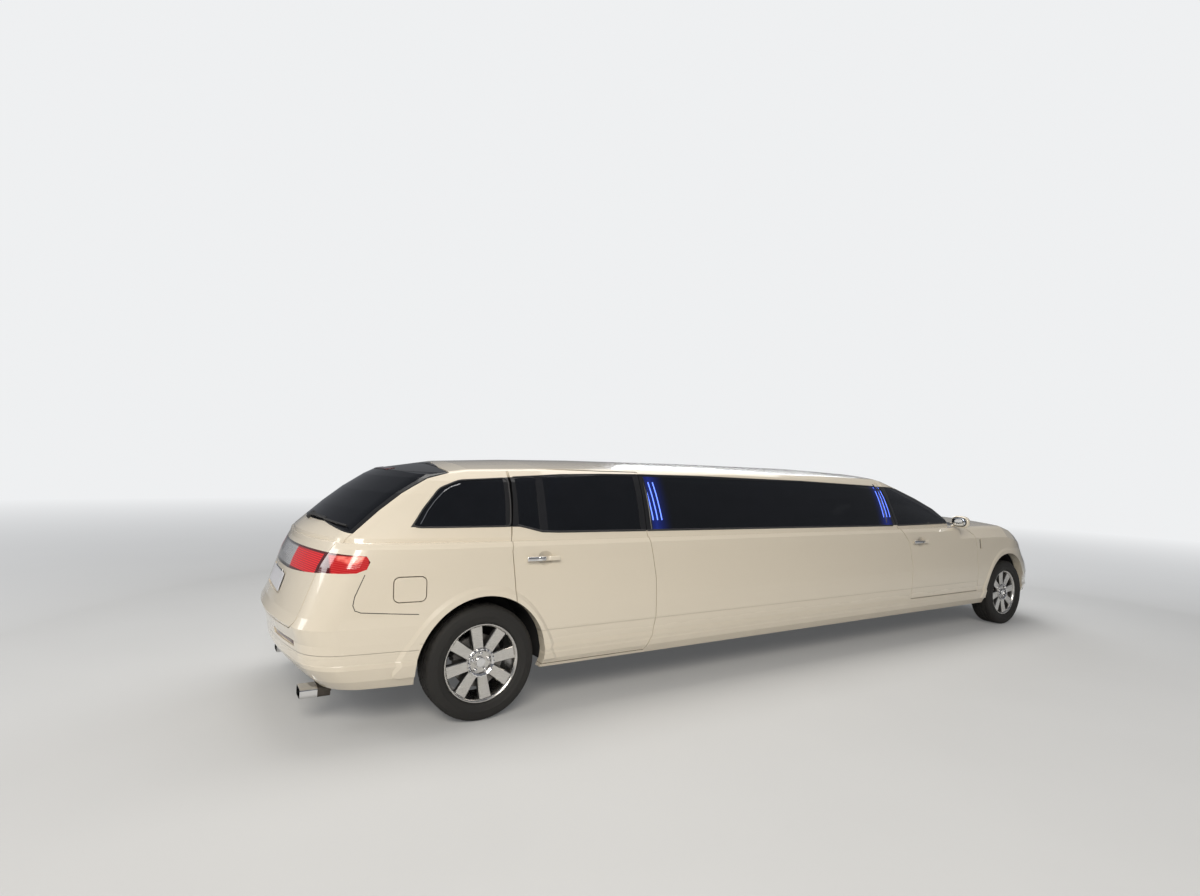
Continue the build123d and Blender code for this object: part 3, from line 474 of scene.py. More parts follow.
def leather(name, low, high):
    """Fine-grained leather."""
    f = Finish(name, Sheen_Weight=0.08)
    cells = f.node("ShaderNodeTexVoronoi", {"feature": "F1"}, f.place(), Scale=420.0)[0]
    cloud = f.noise(6, 4.0)
    f.set(Base_Color=f.mix(cloud, low, high), Roughness=f.shade(cells, 0.36, 0.55))
    return f.bump(cells, 0.0005, 0.5)


def carpet():
    """Dark cut-pile carpet."""
    f = Finish("floor_carpet")
    pile = f.noise(700, 2.0)
    cloud = f.noise(5, 3.0)
    f.set(Base_Color=f.mix(cloud, (0.018, 0.018, 0.02), (0.04, 0.04, 0.043)), Roughness=0.95)
    return f.bump(pile, 0.002, 0.8)


def wood():
    """Dark glossy wood veneer."""
    f = Finish("dark_veneer", Coat_Weight=1.0, Coat_Roughness=0.05)
    rings = f.noise(4, 6.0, (0.5, 6, 22))
    grain = f.noise(60, 4.0, (1, 20, 20))
    tone = f.mix(rings, (0.05, 0.018, 0.008), (0.17, 0.065, 0.025))
    f.set(Base_Color=f.mix(grain * 0.5, tone, (0.03, 0.012, 0.006)), Roughness=0.35)
    return f


def reflector():
    """Dark red prismatic reflector."""
    f = Finish("reflector_red", Coat_Weight=1.0, Coat_Roughness=0.03)
    cells = f.node("ShaderNodeTexVoronoi", {"feature": "F1"}, f.place(), Scale=260.0)[0]
    f.set(Base_Color=f.mix(cells, (0.10, 0.003, 0.004), (0.028, 0.001, 0.001)), Roughness=0.2)
    return f.bump(cells, 0.0006, 0.6)


def glowing(name, colour, strength):
    """A light strip behind a milky cover."""
    f = Finish(name)
    grain = f.noise(300, 2.0)
    f.set(Base_Color=f.mix(grain, colour, tuple(0.7 * c for c in colour)), Roughness=0.35)
    f.set(Emission_Color=f.mix(grain, colour, tuple(0.85 * c for c in colour)))
    f.set(Emission_Strength=strength)
    return f


PAINT = paint("pearl_paint", relief=tail_relief).material
SIDE_PAINT = paint("pearl_paint_with_band", side_band, side_relief).material
ROOF_PAINT = paint("pearl_paint_roof", roof_band).material
GATE_PAINT = paint("pearl_paint_gate", gate_band).material
PILLAR = black_gloss().material
PLASTIC = black_plastic().material
LINER = black_plastic("liner_black", 0.012, 0.02, 0.8).material
RUBBER = tyre_rubber().material
ALLOY = machined_alloy().material
CHROME = chrome().material
METAL = cast_metal().material
DARK_ALLOY = dark_alloy().material
DISC = brake_steel().material
PIPE = exhaust_steel().material
MIRROR = mirror_glass().material
TINT = tinted_glass().material
GLOW_TINT = tinted_glass("tinted_glass_glowing", True).material
SCREEN = clear_glass().material
RED = red_lens("red_lens_quarter", False).material
GATE_RED = red_lens("red_lens_gate", True).material
CLEAR = clear_lens().material
SEAT = leather("seat_leather", (0.02, 0.018, 0.017), (0.045, 0.04, 0.037)).material
TRIM = leather("trim_leather", (0.03, 0.028, 0.027), (0.05, 0.046, 0.043)).material
CARPET = carpet().material
WOOD = wood().material
BLANK = black_plastic("plate_white", 0.60, 0.68, 0.35).material
REFLECTOR = reflector().material
BLUE = glowing("blue_strip", (0.12, 0.22, 1.0), 2.2).material


def coat(node, material):
    """Give a carried-over node its material."""
    mesh = nodes[node].data
    mesh.materials.clear()
    mesh.materials.append(material)
    for polygon in mesh.polygons:
        polygon.material_index = 0


FINISHES = {
    PAINT: ("fenders", "front_bumper", "rear_bumper", "hood", "fuel_door", "mirror_left", "mirror_right"),
    SIDE_PAINT: ("centre_panels", "quarter_panels", "door_front_left", "door_front_right",
                 "door_rear_left", "door_rear_right"),
    ROOF_PAINT: ("roof",),
    GATE_PAINT: ("liftgate",),
    GLOW_TINT: ("side_glass",),
    TINT: ("door_glass_rear_left", "door_glass_rear_right", "liftgate_glass",
           "door_glass_front_left", "door_glass_front_right"),
    SCREEN: ("windshield",),
    RED: ("tail_lamps",),
    GATE_RED: ("liftgate_lamp",),
    CLEAR: ("headlamps",),
    PLASTIC: ("grille", "cowl", "dashboard", "steering_wheel", "firewall"),
    LINER: ("wheel_liners",),
    METAL: ("frame_rails", "rear_axle", "front_subframe", "knuckle_left", "knuckle_right", "door_hinges",
            "engine_block"),
    PIPE: ("exhaust",),
    SEAT: ("front_seats", "rear_seat", "side_seat"),
    WOOD: ("bar_console", "partition"),
    CARPET: ("floor_pan",),
}
for material, names in FINISHES.items():
    for name in names:
        coat(name, material)
for end, _ in ENDS:
    for side, _ in SIDES:
        coat(f"rim_{end}_{side}", ALLOY)
        coat(f"tyre_{end}_{side}", RUBBER)


# Making meshes


def piece(name, shape, material, body, sharp=35, bevel=0.0):
    """Turn a bmesh into a finished object that rides on a body."""
    bmesh.ops.remove_doubles(shape, verts=shape.verts, dist=1e-6)
    bmesh.ops.recalc_face_normals(shape, faces=shape.faces)
    mesh = bpy.data.meshes.new(name)
    shape.to_mesh(mesh)
    shape.free()
    for one in material if isinstance(material, tuple) else (material,):
        mesh.materials.append(one)
    made = bpy.data.objects.new(name, mesh)
    bpy.context.scene.collection.objects.link(made)
    if bevel:
        edge = made.modifiers.new("edge", "BEVEL")
        edge.width = bevel
        edge.segments = 2
        edge.limit_method = "ANGLE"
        edge.angle_limit = radians(40)
    mesh.shade_smooth()
    mesh.set_sharp_from_angle(angle=radians(sharp if not bevel else 60))
    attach(made, body)
    return made


def skin(shape, rings, closed=False, caps=True, index=0):
    """Faces between rings of points. Closed joins the last ring to the first."""
    rows = [[shape.verts.new(p) for p in ring] for ring in rings]
    pairs = list(zip(rows, rows[1:])) + ([(rows[-1], rows[0])] if closed else [])
    for first, second in pairs:
        for k in range(len(first)):
            n = (k + 1) % len(first)
            shape.faces.new((first[k], first[n], second[n], second[k])).material_index = index
    if caps and not closed:
        shape.faces.new(reversed(rows[0])).material_index = index
        shape.faces.new(rows[-1]).material_index = index


def brick(shape, low, high, turn=None):
    """A box between two corners, for shapes whose edges are rounded afterwards."""
    corners = [Vector((x, y, z)) for z in (low[2], high[2]) for x, y in (
        (low[0], low[1]), (high[0], low[1]), (high[0], high[1]), (low[0], high[1]))]
    if turn:
        middle = (Vector(low) + Vector(high)) / 2
        corners = [middle + turn @ (c - middle) for c in corners]
    skin(shape, [corners[:4], corners[4:]])


def along(shape, path, sides, profile, closed=False):
    """Sweep a profile of (across, up) points along a path; sides give the up direction."""
    rings = []
    count = len(path)
    for k, point in enumerate(path):
        before = path[k - 1] if k or closed else point
        after = path[(k + 1) % count] if k < count - 1 or closed else point
        ahead = (Vector(after) - Vector(before)).normalized()
        up = Vector(sides[k])
        across = ahead.cross(up).normalized()
        up = across.cross(ahead).normalized()
        rings.append([Vector(point) + across * a + up * b for a, b in profile])
    skin(shape, rings, closed=closed)


def half_round(width, height):
    """The section of a strip with a low crown."""
    half = width / 2
    return [(-half, 0), (half, 0), (half, 0.35 * height), (0.55 * half, 0.9 * height), (0, height),
            (-0.55 * half, 0.9 * height), (-half, 0.35 * height)]


def turns(count):
    """Angles of a full turn in equal steps."""
    return [2 * pi * k / count for k in range(count)]


def fractions(count):
    """Numbers from 0 to 1 in equal steps."""
    return [k / (count - 1) for k in range(count)]


def squared(value, power):
    """A sine or cosine pushed outward, which makes a round section boxy."""
    return abs(value) ** power * (1 if value > 0 else -1)


class Skin:
    """Where straight lines meet the CAD surface of some nodes."""

    def __init__(self, *names):
        points, faces = [], []
        for name in names:
            mesh = nodes[name].data
            start = len(points)
            points += [v.co.copy() for v in mesh.vertices]
            faces += [[start + i for i in p.vertices] for p in mesh.polygons]
        self.tree = BVHTree.FromPolygons(points, faces)

    def hit(self, start, direction):
        """The first point met and its normal, turned back along the line; None twice on a miss."""
        place, normal, _, _ = self.tree.ray_cast(Vector(start), Vector(direction).normalized())
        if place is not None and normal.dot(Vector(direction)) > 0:
            normal = -normal
        return place, normal

    def side(self, x, z, sign):
        """The body's side at a station and height."""
        return self.hit((x, sign * 2, z), (0, -sign, 0))

    def tail(self, y, z):
        """The rear end at a place across and a height."""
        return self.hit((-8, y, z), (1, 0, 0))

    def nose(self, y, z):
        """The front end at a place across and a height."""
        return self.hit((8, y, z), (-1, 0, 0))

    def top(self, x, y):
        """The upper side at a station and a place across."""
        return self.hit((x, y, 4), (0, 0, -1))


def laid(cast, spots, lifts):
    """A path over a surface and its outward directions, each spot lifted off what carries it."""
    path, ups = [], []
    for spot, lift in zip(spots, lifts):
        place, normal = cast(*spot)
        if place is not None:
            path.append(place + normal * lift)
            ups.append(normal)
    return path, ups


def between(points, step):
    """Points along a run of straight lines, a step apart."""
    out = []
    for first, second in zip(points, points[1:]):
        first, second = Vector(first), Vector(second)
        count = max(1, round((second - first).length / step))
        out += [first.lerp(second, k / count) for k in range(count)]
    return out + [Vector(points[-1])]


def rounded(points, radius, steps=4):
    """A closed outline of 2-D points with its corners rounded."""
    out = []
    count = len(points)
    for k in range(count):
        here = Vector(points[k])
        back = Vector(points[k - 1]) - here
        ahead = Vector(points[(k + 1) % count]) - here
        reach = min(radius, 0.45 * back.length, 0.45 * ahead.length)
        start = here + back.normalized() * reach
        end = here + ahead.normalized() * reach
        for j in range(steps + 1):
            t = j / steps
            out.append(start * (1 - t) ** 2 + here * 2 * t * (1 - t) + end * t * t)
    return out


# Wheels


class Hub:
    """Wheel coordinates: forward, up and outward from the wheel's centre."""

    def __init__(self, x, sign):
        self.x = x
        self.sign = sign

    def at(self, forward, up, out):
        """A point in the car's frame."""
        return Vector((self.x + forward, self.sign * (TRACK / 2 + out), TYRE_RADIUS + up))

    def ring(self, radius, out, steps):
        """Points of a circle about the wheel's axle."""
        return [self.at(radius * cos(turn), radius * sin(turn), out) for turn in turns(steps)]


def lathe(shape, hub, profile, steps, index=0):
    """A body of revolution about the wheel's axle from (radius, out) points."""
    skin(shape, [hub.ring(r, out, steps) for r, out in profile], closed=True, index=index)


SPOKES, SCALLOPS, NUTS, VENTS = 8, 20, 5, 48
NUT_CIRCLE = 0.0572
# Below this distance outward of the wheel's middle plane, the spokes' flanks are painted dark.
SPOKE_FLANK = 0.066
SPOKE_TURN = radians(10)
# Sections of revolution as (radius, outward) points.
RIM_PROFILE = [
    (0.2530, 0.0870), (0.2535, 0.0925), (0.2515, 0.0950), (0.2465, 0.0952), (0.2420, 0.0925),
    (0.2370, 0.0860), (0.2335, 0.0780), (0.2300, 0.0620), (0.2265, 0.0200), (0.2200, -0.0400),
    (0.2180, -0.0600), (0.2260, -0.0850), (0.2330, -0.0950), (0.2530, -0.0950), (0.2530, -0.0870),
    (0.2413, -0.0850), (0.2413, 0.0850), (0.2480, 0.0860),
]
CENTRE_RING = [(0.0975, 0.048), (0.0975, 0.0735), (0.0945, 0.0765), (0.0860, 0.0775), (0.0860, 0.048)]
HUB_CAP = [
    (0.0335, 0.060), (0.0335, 0.0800), (0.0320, 0.0830), (0.0285, 0.0835), (0.0275, 0.0820),
    (0.0150, 0.0832), (0.0010, 0.0835), (0.0010, 0.060),
]
WELL_FLOOR = [(0.0870, 0.050), (0.0870, 0.066), (0.0300, 0.063), (0.0300, 0.050)]
WELL_BELL = [
    (0.1050, -0.030), (0.1050, 0.046), (0.1010, 0.050), (0.0300, 0.050), (0.0300, 0.044),
    (0.0990, 0.044), (0.0990, -0.030),
]
OUTER_DISC = [
    (0.1680, 0.012), (0.1685, 0.014), (0.1685, 0.020), (0.1680, 0.022), (0.1100, 0.022),
    (0.1060, 0.026), (0.1060, 0.036), (0.1030, 0.036), (0.1030, 0.012),
]
INNER_DISC = [
    (0.1680, -0.006), (0.1685, -0.004), (0.1685, 0.002), (0.1680, 0.004), (0.1070, 0.004),
    (0.1070, -0.006),
]
# Rings of the scalloped collar: radius, outward, and how far the scallops swell it.
COLLAR = (
    (0.0890, 0.066, 0), (0.0915, 0.0800, 0.0025), (0.0885, 0.0870, 0.0035), (0.0810, 0.0880, 0.0030),
    (0.0740, 0.0830, -0.0010), (0.0715, 0.062, 0),
)
# Rings of a wheel nut: radius, outward, and 1 where it has six corners.
NUT_RINGS = (
    (0.0125, 0.058, 1), (0.0125, 0.0740, 1), (0.0105, 0.0765, 1), (0.0095, 0.0790, 0),
    (0.0060, 0.0815, 0), (0.0008, 0.0822, 0),
)
# Sections of a spoke: distance from the axle, half width and outward place of the face.
SPOKE_RUNS = [
    (0.070, 0.0315, 0.0770), (0.100, 0.0330, 0.0755), (0.130, 0.0345, 0.0750), (0.165, 0.0360, 0.0765),
    (0.200, 0.0375, 0.0790), (0.2335, 0.0395, 0.0815),
]


def spokes(shape, hub):
    """Eight broad flat spokes with eased edges and sides that lean back into the rim."""
    for turn in turns(SPOKES):
        angle = SPOKE_TURN + turn
        ahead = (cos(angle), sin(angle))
        rings = []
        for run, half, face in SPOKE_RUNS:
            section = [
                (-half - 0.004, face - 0.032), (-half - 0.001, face - 0.005),
                (-half + 0.003, face - 0.0005), (-0.4 * half, face),
                (0.4 * half, face), (half - 0.003, face - 0.0005),
                (half + 0.001, face - 0.005), (half + 0.004, face - 0.032),
            ]
            rings.append([
                hub.at(run * ahead[0] - side * ahead[1], run * ahead[1] + side * ahead[0], out)
                for side, out in section
            ])
        start = len(shape.faces)
        skin(shape, rings)
        shape.faces.ensure_lookup_table()
        for face in shape.faces[start:]:
            outs = [abs(v.co.y) - TRACK / 2 for v in face.verts]
            if min(outs) < SPOKE_FLANK:
                face.material_index = 1


def rim_face(hub, tag, body):
    """The alloy rim with its spokes, dark in its depths."""
    shape = bmesh.new()
    lathe(shape, hub, RIM_PROFILE, 96)
    spokes(shape, hub)
    lathe(shape, hub, CENTRE_RING, 64)
    rim = piece(f"rim_face_{tag}", shape, (ALLOY, DARK_ALLOY), body, sharp=30)
    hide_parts(f"rim_{tag}")


def nut(shape, hub, turn):
    """A wheel nut with six eased corners and a domed end."""
    forward, up = NUT_CIRCLE * cos(turn), NUT_CIRCLE * sin(turn)
    rows = []
    for radius, out, corners in NUT_RINGS:
        row = []
        for around in turns(24):
            reach = radius * (1 - 0.10 * corners * abs(cos(3 * around)))
            row.append(hub.at(forward + reach * cos(around), up + reach * sin(around), out))
        rows.append(row)
    skin(shape, rows)


def wheel_brights(hub, tag, body):
    """The scalloped collar, the cap in its middle and the wheel nuts."""
    shape = bmesh.new()
    collar = [(turn, 0.5 + 0.5 * cos(SCALLOPS * turn)) for turn in turns(160)]
    rings = []
    for radius, out, grow in COLLAR:
        rings.append([
            hub.at((radius + grow * s) * cos(t), (radius + grow * s) * sin(t), out + grow * s)
            for t, s in collar
        ])
    skin(shape, rings, closed=True)
    lathe(shape, hub, HUB_CAP, 48)
    for turn in turns(NUTS):
        nut(shape, hub, pi / 2 + turn)
    piece(f"wheel_brights_{tag}", shape, CHROME, body, sharp=32)


def hub_well(hub, tag, body):
    """The well behind the collar and the dark bell of the hub."""
    shape = bmesh.new()
    lathe(shape, hub, WELL_FLOOR, 64)
    lathe(shape, hub, WELL_BELL, 64, index=1)
    piece(f"hub_well_{tag}", shape, (ALLOY, DARK_ALLOY), body)


def brake_disc(hub, tag, body):
    """A vented disc: two rings with vanes between them."""
    shape = bmesh.new()
    lathe(shape, hub, OUTER_DISC, 96)
    lathe(shape, hub, INNER_DISC, 96)
    for turn in turns(VENTS):
        rings = []
        for radius in (0.110, 0.166):
            rings.append([
                hub.at(radius * cos(turn) - s * sin(turn), radius * sin(turn) + s * cos(turn), out)
                for s, out in ((-0.002, 0.003), (0.002, 0.003), (0.002, 0.013), (-0.002, 0.013))
            ])
        skin(shape, rings)
    piece(f"brake_disc_{tag}", shape, DISC, body, sharp=30)


def brake_caliper(hub, tag, carrier, start):
    """A caliper that reaches round the disc over 48 degrees."""
    shape = bmesh.new()
    rings = []
    last = 12
    for k in range(last + 1):
        turn = radians(start + 4.0 * k)
        inner, outer = 0.112, 0.186 - (0.006 if k in (0, last) else 0)
        section = [
            (inner, -0.030), (inner, 0.040), (0.130, 0.0445), (0.170, 0.0440),
            (outer - 0.004, 0.038), (outer, 0.028), (outer, -0.028), (outer - 0.006, -0.034),
        ]
        rings.append([hub.at(r * cos(turn), r * sin(turn), out) for r, out in section])
    skin(shape, rings)
    piece(f"brake_caliper_{tag}", shape, METAL, carrier, sharp=40, bevel=0.002)


def wheel(end, x, side, sign):
    """One wheel and the brake behind it."""
    hub, tag, body = Hub(x, sign), f"{end}_{side}", f"wheel_{end}_{side}"
    rim_face(hub, tag, body)
    wheel_brights(hub, tag, body)
    hub_well(hub, tag, body)
    brake_disc(hub, tag, body)
    if end == "front":
        brake_caliper(hub, tag, f"knuckle_{side}", 20)
    else:
        brake_caliper(hub, tag, "body", 120)


def tyre(end, x, side, sign):
    """A road tyre: bulged walls with moulded rings, shoulders, four grooves and cross-cut blocks."""
    hub = Hub(x, sign)
    wall = [
        (0.2555, 0.0868), (0.2560, 0.0950), (0.2620, 0.1015), (0.2680, 0.1050), (0.2700, 0.1068),
        (0.2730, 0.1070), (0.2860, 0.1118), (0.3000, 0.1152), (0.3020, 0.1165), (0.3045, 0.1165),
        (0.3065, 0.1160), (0.3200, 0.1168), (0.3330, 0.1150), (0.3420, 0.1120), (0.3440, 0.1122),
        (0.3470, 0.1112), (0.3530, 0.1065), (0.3590, 0.1005), (0.3640, 0.0940), (0.3672, 0.0870),
    ]
    crown = [
        (0.3688, 0.0790), (0.3696, 0.0700), (0.3698, 0.0625), (0.3625, 0.0610), (0.3625, 0.0540),
        (0.3701, 0.0525), (0.3704, 0.0380), (0.3704, 0.0240), (0.3625, 0.0225), (0.3625, 0.0140),
        (0.3705, 0.0125), (0.3705, 0.0000),
    ]
    half = wall + crown
    profile = half + [(r, -out) for r, out in reversed(half[:-1])]
    # Depth of the cross cuts at the half profile's points, counted from the bead.
    cut = {19: 0.0025, 20: 0.0045, 21: 0.0060, 22: 0.0060, 25: 0.0045, 26: 0.0045, 27: 0.0045}
    steps, pitch = 216, 6
    shape = bmesh.new()
    rings = []
    count = len(profile)
    for index, (radius, out) in enumerate(profile):
        mirrored = min(index, count - 1 - index)
        drop = cut.get(mirrored, 0)
        lean = pitch // 2 if index > count / 2 else 0
        row = []
        for k, turn in enumerate(turns(steps)):
            low = drop if (k + lean) % pitch == 0 else 0
            row.append(hub.at((radius - low) * cos(turn), (radius - low) * sin(turn), out))
        rings.append(row)
    skin(shape, rings, closed=True)
    made = piece(f"road_tyre_{end}_{side}", shape, RUBBER, f"wheel_{end}_{side}", sharp=42)
    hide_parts(f"tyre_{end}_{side}")


for end, x in ENDS:
    for side, sign in SIDES:
        wheel(end, x, side, sign)
        tyre(end, x, side, sign)


# Strips, trims and handles on the sides


STRIP_LIFT = 0.0005
# Strips by width, height, material and slot.
BRIGHT_EDGE = (0.0055, 0.003, CHROME, "chrome")
PANE_SEAL = (0.011, 0.005, PLASTIC, "black_plastic")
WAIST_STRIP = (0.014, 0.006, PLASTIC, "black_plastic")
TOP_STRIP = (0.009, 0.005, PLASTIC, "black_plastic")
DIVIDER = (0.060, 0.003, PILLAR, "black_plastic")
PANE_END = (0.016, 0.004, PILLAR, "black_plastic")
SHUT_LINE = (0.0045, 0.0005, LINER, "black_plastic")
VENT = (0.026, 0.004, LINER, "black_plastic")


def on_side(base, sign, points, step, lift, closed=False):
    """A path along (station, height) points on the car's side; stations count from the rear axle."""
    run = [(REAR_AXLE + x, z) for x, z in (points + points[:1] if closed else points)]
    spots = between(run, step)[: -1 if closed else None]
    return laid(lambda x, z: base.side(x, z, sign), spots, [lift] * len(spots))


def strip_on(name, base, sign, rides, strip, step, points, closed=False):
    """A low strip along (station, height) points on a body's side."""
    width, height, material, slot = strip
    shape = bmesh.new()
    path, ups = on_side(base, sign, points, step, STRIP_LIFT, closed)
    along(shape, path, ups, half_round(width, height), closed=closed)
    piece(name, shape, material, rides, sharp=60)


def quarter_strips(side, sign):
    """The bright edge and the black seal of the quarter window."""
    strip_on(f"quarter_bright_edge_{side}", Skin("side_glass"), sign, "body", BRIGHT_EDGE, 0.02, [
        (-0.404, 1.262), (-0.385, 1.290), (-0.352, 1.345), (-0.300, 1.408), (-0.245, 1.462),
        (-0.190, 1.496), (-0.125, 1.518)])
    outline = [
        (-0.449, 1.2505), (-0.408, 1.2415), (0.185, 1.2475), (0.200, 1.400), (0.206, 1.5655),
        (-0.128, 1.5425), (-0.263, 1.4875), (-0.385, 1.3480)]
    strip_on(f"quarter_seal_{side}", Skin("quarter_panels", "side_glass"), sign, "body", PANE_SEAL, 0.03,
             rounded(outline, 0.03, 3), closed=True)


def rear_door_strips(side, sign):
    """Waist and top strips of the rear door and the pillar between its panes."""
    body = f"door_rear_{side}"
    door = Skin(body, f"door_glass_rear_{side}")
    strip_on(f"waist_strip_rear_{side}", door, sign, body, WAIST_STRIP, 0.03, [
        (0.235, 1.2520), (0.295, 1.2400), (0.412, 1.2105), (0.540, 1.2055), (1.292, 1.2015)])
    strip_on(f"top_strip_rear_{side}", door, sign, body, TOP_STRIP, 0.03, [
        (0.250, 1.5725), (0.620, 1.5990), (0.970, 1.6110), (1.300, 1.6165)])
    strip_on(f"door_divider_{side}", door, sign, body, DIVIDER, 0.05, [
        (0.428, 1.216), (0.430, 1.400), (0.436, 1.578)])


def centre_strips(side, sign):
    """Waist and top strips of the long pane and the black edges at its ends."""
    middle = Skin("centre_panels", "side_glass", "roof")
    strip_on(f"waist_strip_centre_{side}", middle, sign, "body", WAIST_STRIP, 0.06, [
        (1.304, 1.2010), (4.390, 1.1880)])
    strip_on(f"top_strip_centre_{side}", middle, sign, "body", TOP_STRIP, 0.06, [
        (1.325, 1.6175), (1.960, 1.6180), (3.180, 1.6030), (4.230, 1.5735), (4.370, 1.5690)])
    for number, x in enumerate((1.352, 4.300)):
        strip_on(f"pane_edge_{number}_{side}", middle, sign, "body", PANE_END, 0.05, [
            (x, 1.212), (x + 0.002, 1.400), (x, 1.590)])


def front_door_strips(side, sign):
    """Waist and top strips of the front door."""
    body = f"door_front_{side}"
    door = Skin(body, f"door_glass_front_{side}")
    strip_on(f"waist_strip_front_{side}", door, sign, body, WAIST_STRIP, 0.05, [
        (4.470, 1.1875), (5.640, 1.1855)])
    strip_on(f"top_strip_front_{side}", door, sign, body, TOP_STRIP, 0.04, [
        (4.400, 1.5660), (4.570, 1.5620), (4.765, 1.5410), (5.040, 1.4480), (5.425, 1.3060),
        (5.640, 1.2060)])


# Foot and head of each blue strip, as stations from the rear axle and heights.
STRIP_RUNS = (
    ((1.376, 1.275), (1.353, 1.560)), ((1.418, 1.275), (1.394, 1.560)), ((1.459, 1.275), (1.438, 1.560)),
    ((4.268, 1.270), (4.262, 1.560)), ((4.323, 1.270), (4.310, 1.560)), ((4.376, 1.270), (4.354, 1.560)),
)


def light_strips(side, sign):
    """Three slanted blue light strips at each end of the long pane."""
    glass = Skin("side_glass", "centre_panels")
    shape = bmesh.new()
    for foot, head in STRIP_RUNS:
        path, ups = on_side(glass, sign, [foot, head], 0.05, 0.0002)
        along(shape, path, ups, half_round(0.009, 0.0020))
    piece(f"blue_light_strips_{side}", shape, BLUE, "body", sharp=60)


def seams(side, sign):
    """The fine shut lines between fixed panels of the body's side."""
    body = Skin("quarter_panels", "rear_bumper", "fenders", "front_bumper")
    strip_on(f"rear_bumper_seam_{side}", body, sign, "body", SHUT_LINE, 0.02, [
        (-0.752, 0.975), (-0.806, 0.850), (-0.815, 0.800), (-0.803, 0.770), (-0.770, 0.757),
        (-0.600, 0.742), (-0.436, 0.728)])
    strip_on(f"front_bumper_seam_{side}", body, sign, "body", SHUT_LINE, 0.02, [
        (7.112, 0.775), (7.111, 0.700), (7.111, 0.560), (7.060, 0.520)])


def fender_vent(side, sign):
    """A short slanted vent behind the front wheel."""
    strip_on(f"fender_vent_{side}", Skin("fenders"), sign, "body", VENT, 0.01, [
        (5.966, 0.910), (5.954, 1.010)])


GRIP_END = 0.1225
GRIP_SPLIT = 0.012
GRIP_OUT = 0.976


def handle(end, side, sign, x, z):
    """A grip bar, bright over its rear half, that closes over the solid's bar."""
    shape = bmesh.new()
    bright = (-GRIP_END, -0.1200, -0.115, -0.06, GRIP_SPLIT)
    painted = (GRIP_SPLIT, 0.06, 0.115, 0.1200, GRIP_END)
    for runs, index in ((bright, 1), (painted, 0)):
        rings = []
        for run in runs:
            ease = 0.82 if abs(run) > 0.122 else 1.0
            crest = 0.0015 * (1 - (run / GRIP_END) ** 2)
            rings.append([Vector((
                x + run,
                sign * (GRIP_OUT + crest + 0.0088 * ease * squared(sin(turn), 0.55)),
                z + 0.0145 * ease * squared(cos(turn), 0.55))) for turn in turns(20)])
        skin(shape, rings, index=index)
    piece(f"handle_grip_{end}_{side}", shape, (PAINT, CHROME), f"door_{end}_{side}", sharp=40)


# Plates, lenses, wipers and mirrors


def plate_on(shape, cast, outline, lift, thickness):
    """A low plate with eased edges over a 2-D outline, or False where the surface has a hole.

    cast gives the surface point and its normal.
    """
    middle = sum((Vector(p) for p in outline), Vector((0, 0))) / len(outline)
    levels = ((1.0, lift), (1.0, lift + 0.6 * thickness), (0.985, lift + thickness),
              (0.72, lift + thickness), (0.42, lift + thickness), (0.02, lift + thickness))
    rings = []
    for scale, height in levels:
        ring = []
        for point in outline:
            spot = middle + (Vector(point) - middle) * scale
            place, normal = cast(*spot)
            if place is None:
                return False
            ring.append(place + normal * height)
        rings.append(ring)
    skin(shape, rings)
    return True


def oblong(x, y, width, height, radius):
    """A rectangle with rounded corners about a middle."""
    half, tall = width / 2, height / 2
    corners = [(x - half, y - tall), (x + half, y - tall), (x + half, y + tall), (x - half, y + tall)]
    return rounded(corners, radius)


def flat_at(place, normal):
    """A flat stand-in for a surface: the plane through one of its points."""
    def cast(y, z):
        x = place.x - ((y - place.y) * normal.y + (z - place.z) * normal.z) / normal.x
        return Vector((x, y, z)), normal
    return cast


PLATE_HEIGHT = 0.8455


def tail_details():
    """Blank plate, its lamp bar, the bumper reflectors and the high brake lamp."""
    gate = Skin("liftgate")
    middle = gate.tail(0.001, PLATE_HEIGHT)
    shape = bmesh.new()
    plate_on(shape, flat_at(*middle), oblong(0, PLATE_HEIGHT, 0.500, 0.112, 0.010), STRIP_LIFT, 0.003)
    piece("rear_plate_blank", shape, BLANK, "liftgate", sharp=50)
    shape = bmesh.new()
    plate_on(shape, gate.tail, oblong(0, 0.9035, 0.30, 0.010, 0.003), 0.000, 0.010)
    piece("plate_lamp_bar", shape, CHROME, "liftgate", sharp=50)
    bumper = Skin("rear_bumper")
    shape = bmesh.new()
    for sign in (-1, 1):
        outline = oblong(sign * 0.4525, 0.554, 0.386, 0.026, 0.008)
        plate_on(shape, bumper.tail, outline, STRIP_LIFT, 0.005)
    piece("bumper_reflectors", shape, REFLECTOR, "body", sharp=50)
    shape = bmesh.new()
    plate_on(shape, gate.tail, oblong(0, 1.5955, 0.36, 0.014, 0.005), 0.0002, 0.004)
    piece("high_brake_lamp", shape, REFLECTOR, "liftgate", sharp=50)


def blade(half):
    """The section of a wiper blade: a narrow lip that widens to its frame."""
    return [(-0.003, 0), (0.003, 0), (half, 0.010), (0.004, 0.016), (-0.004, 0.016), (-half, 0.010)]


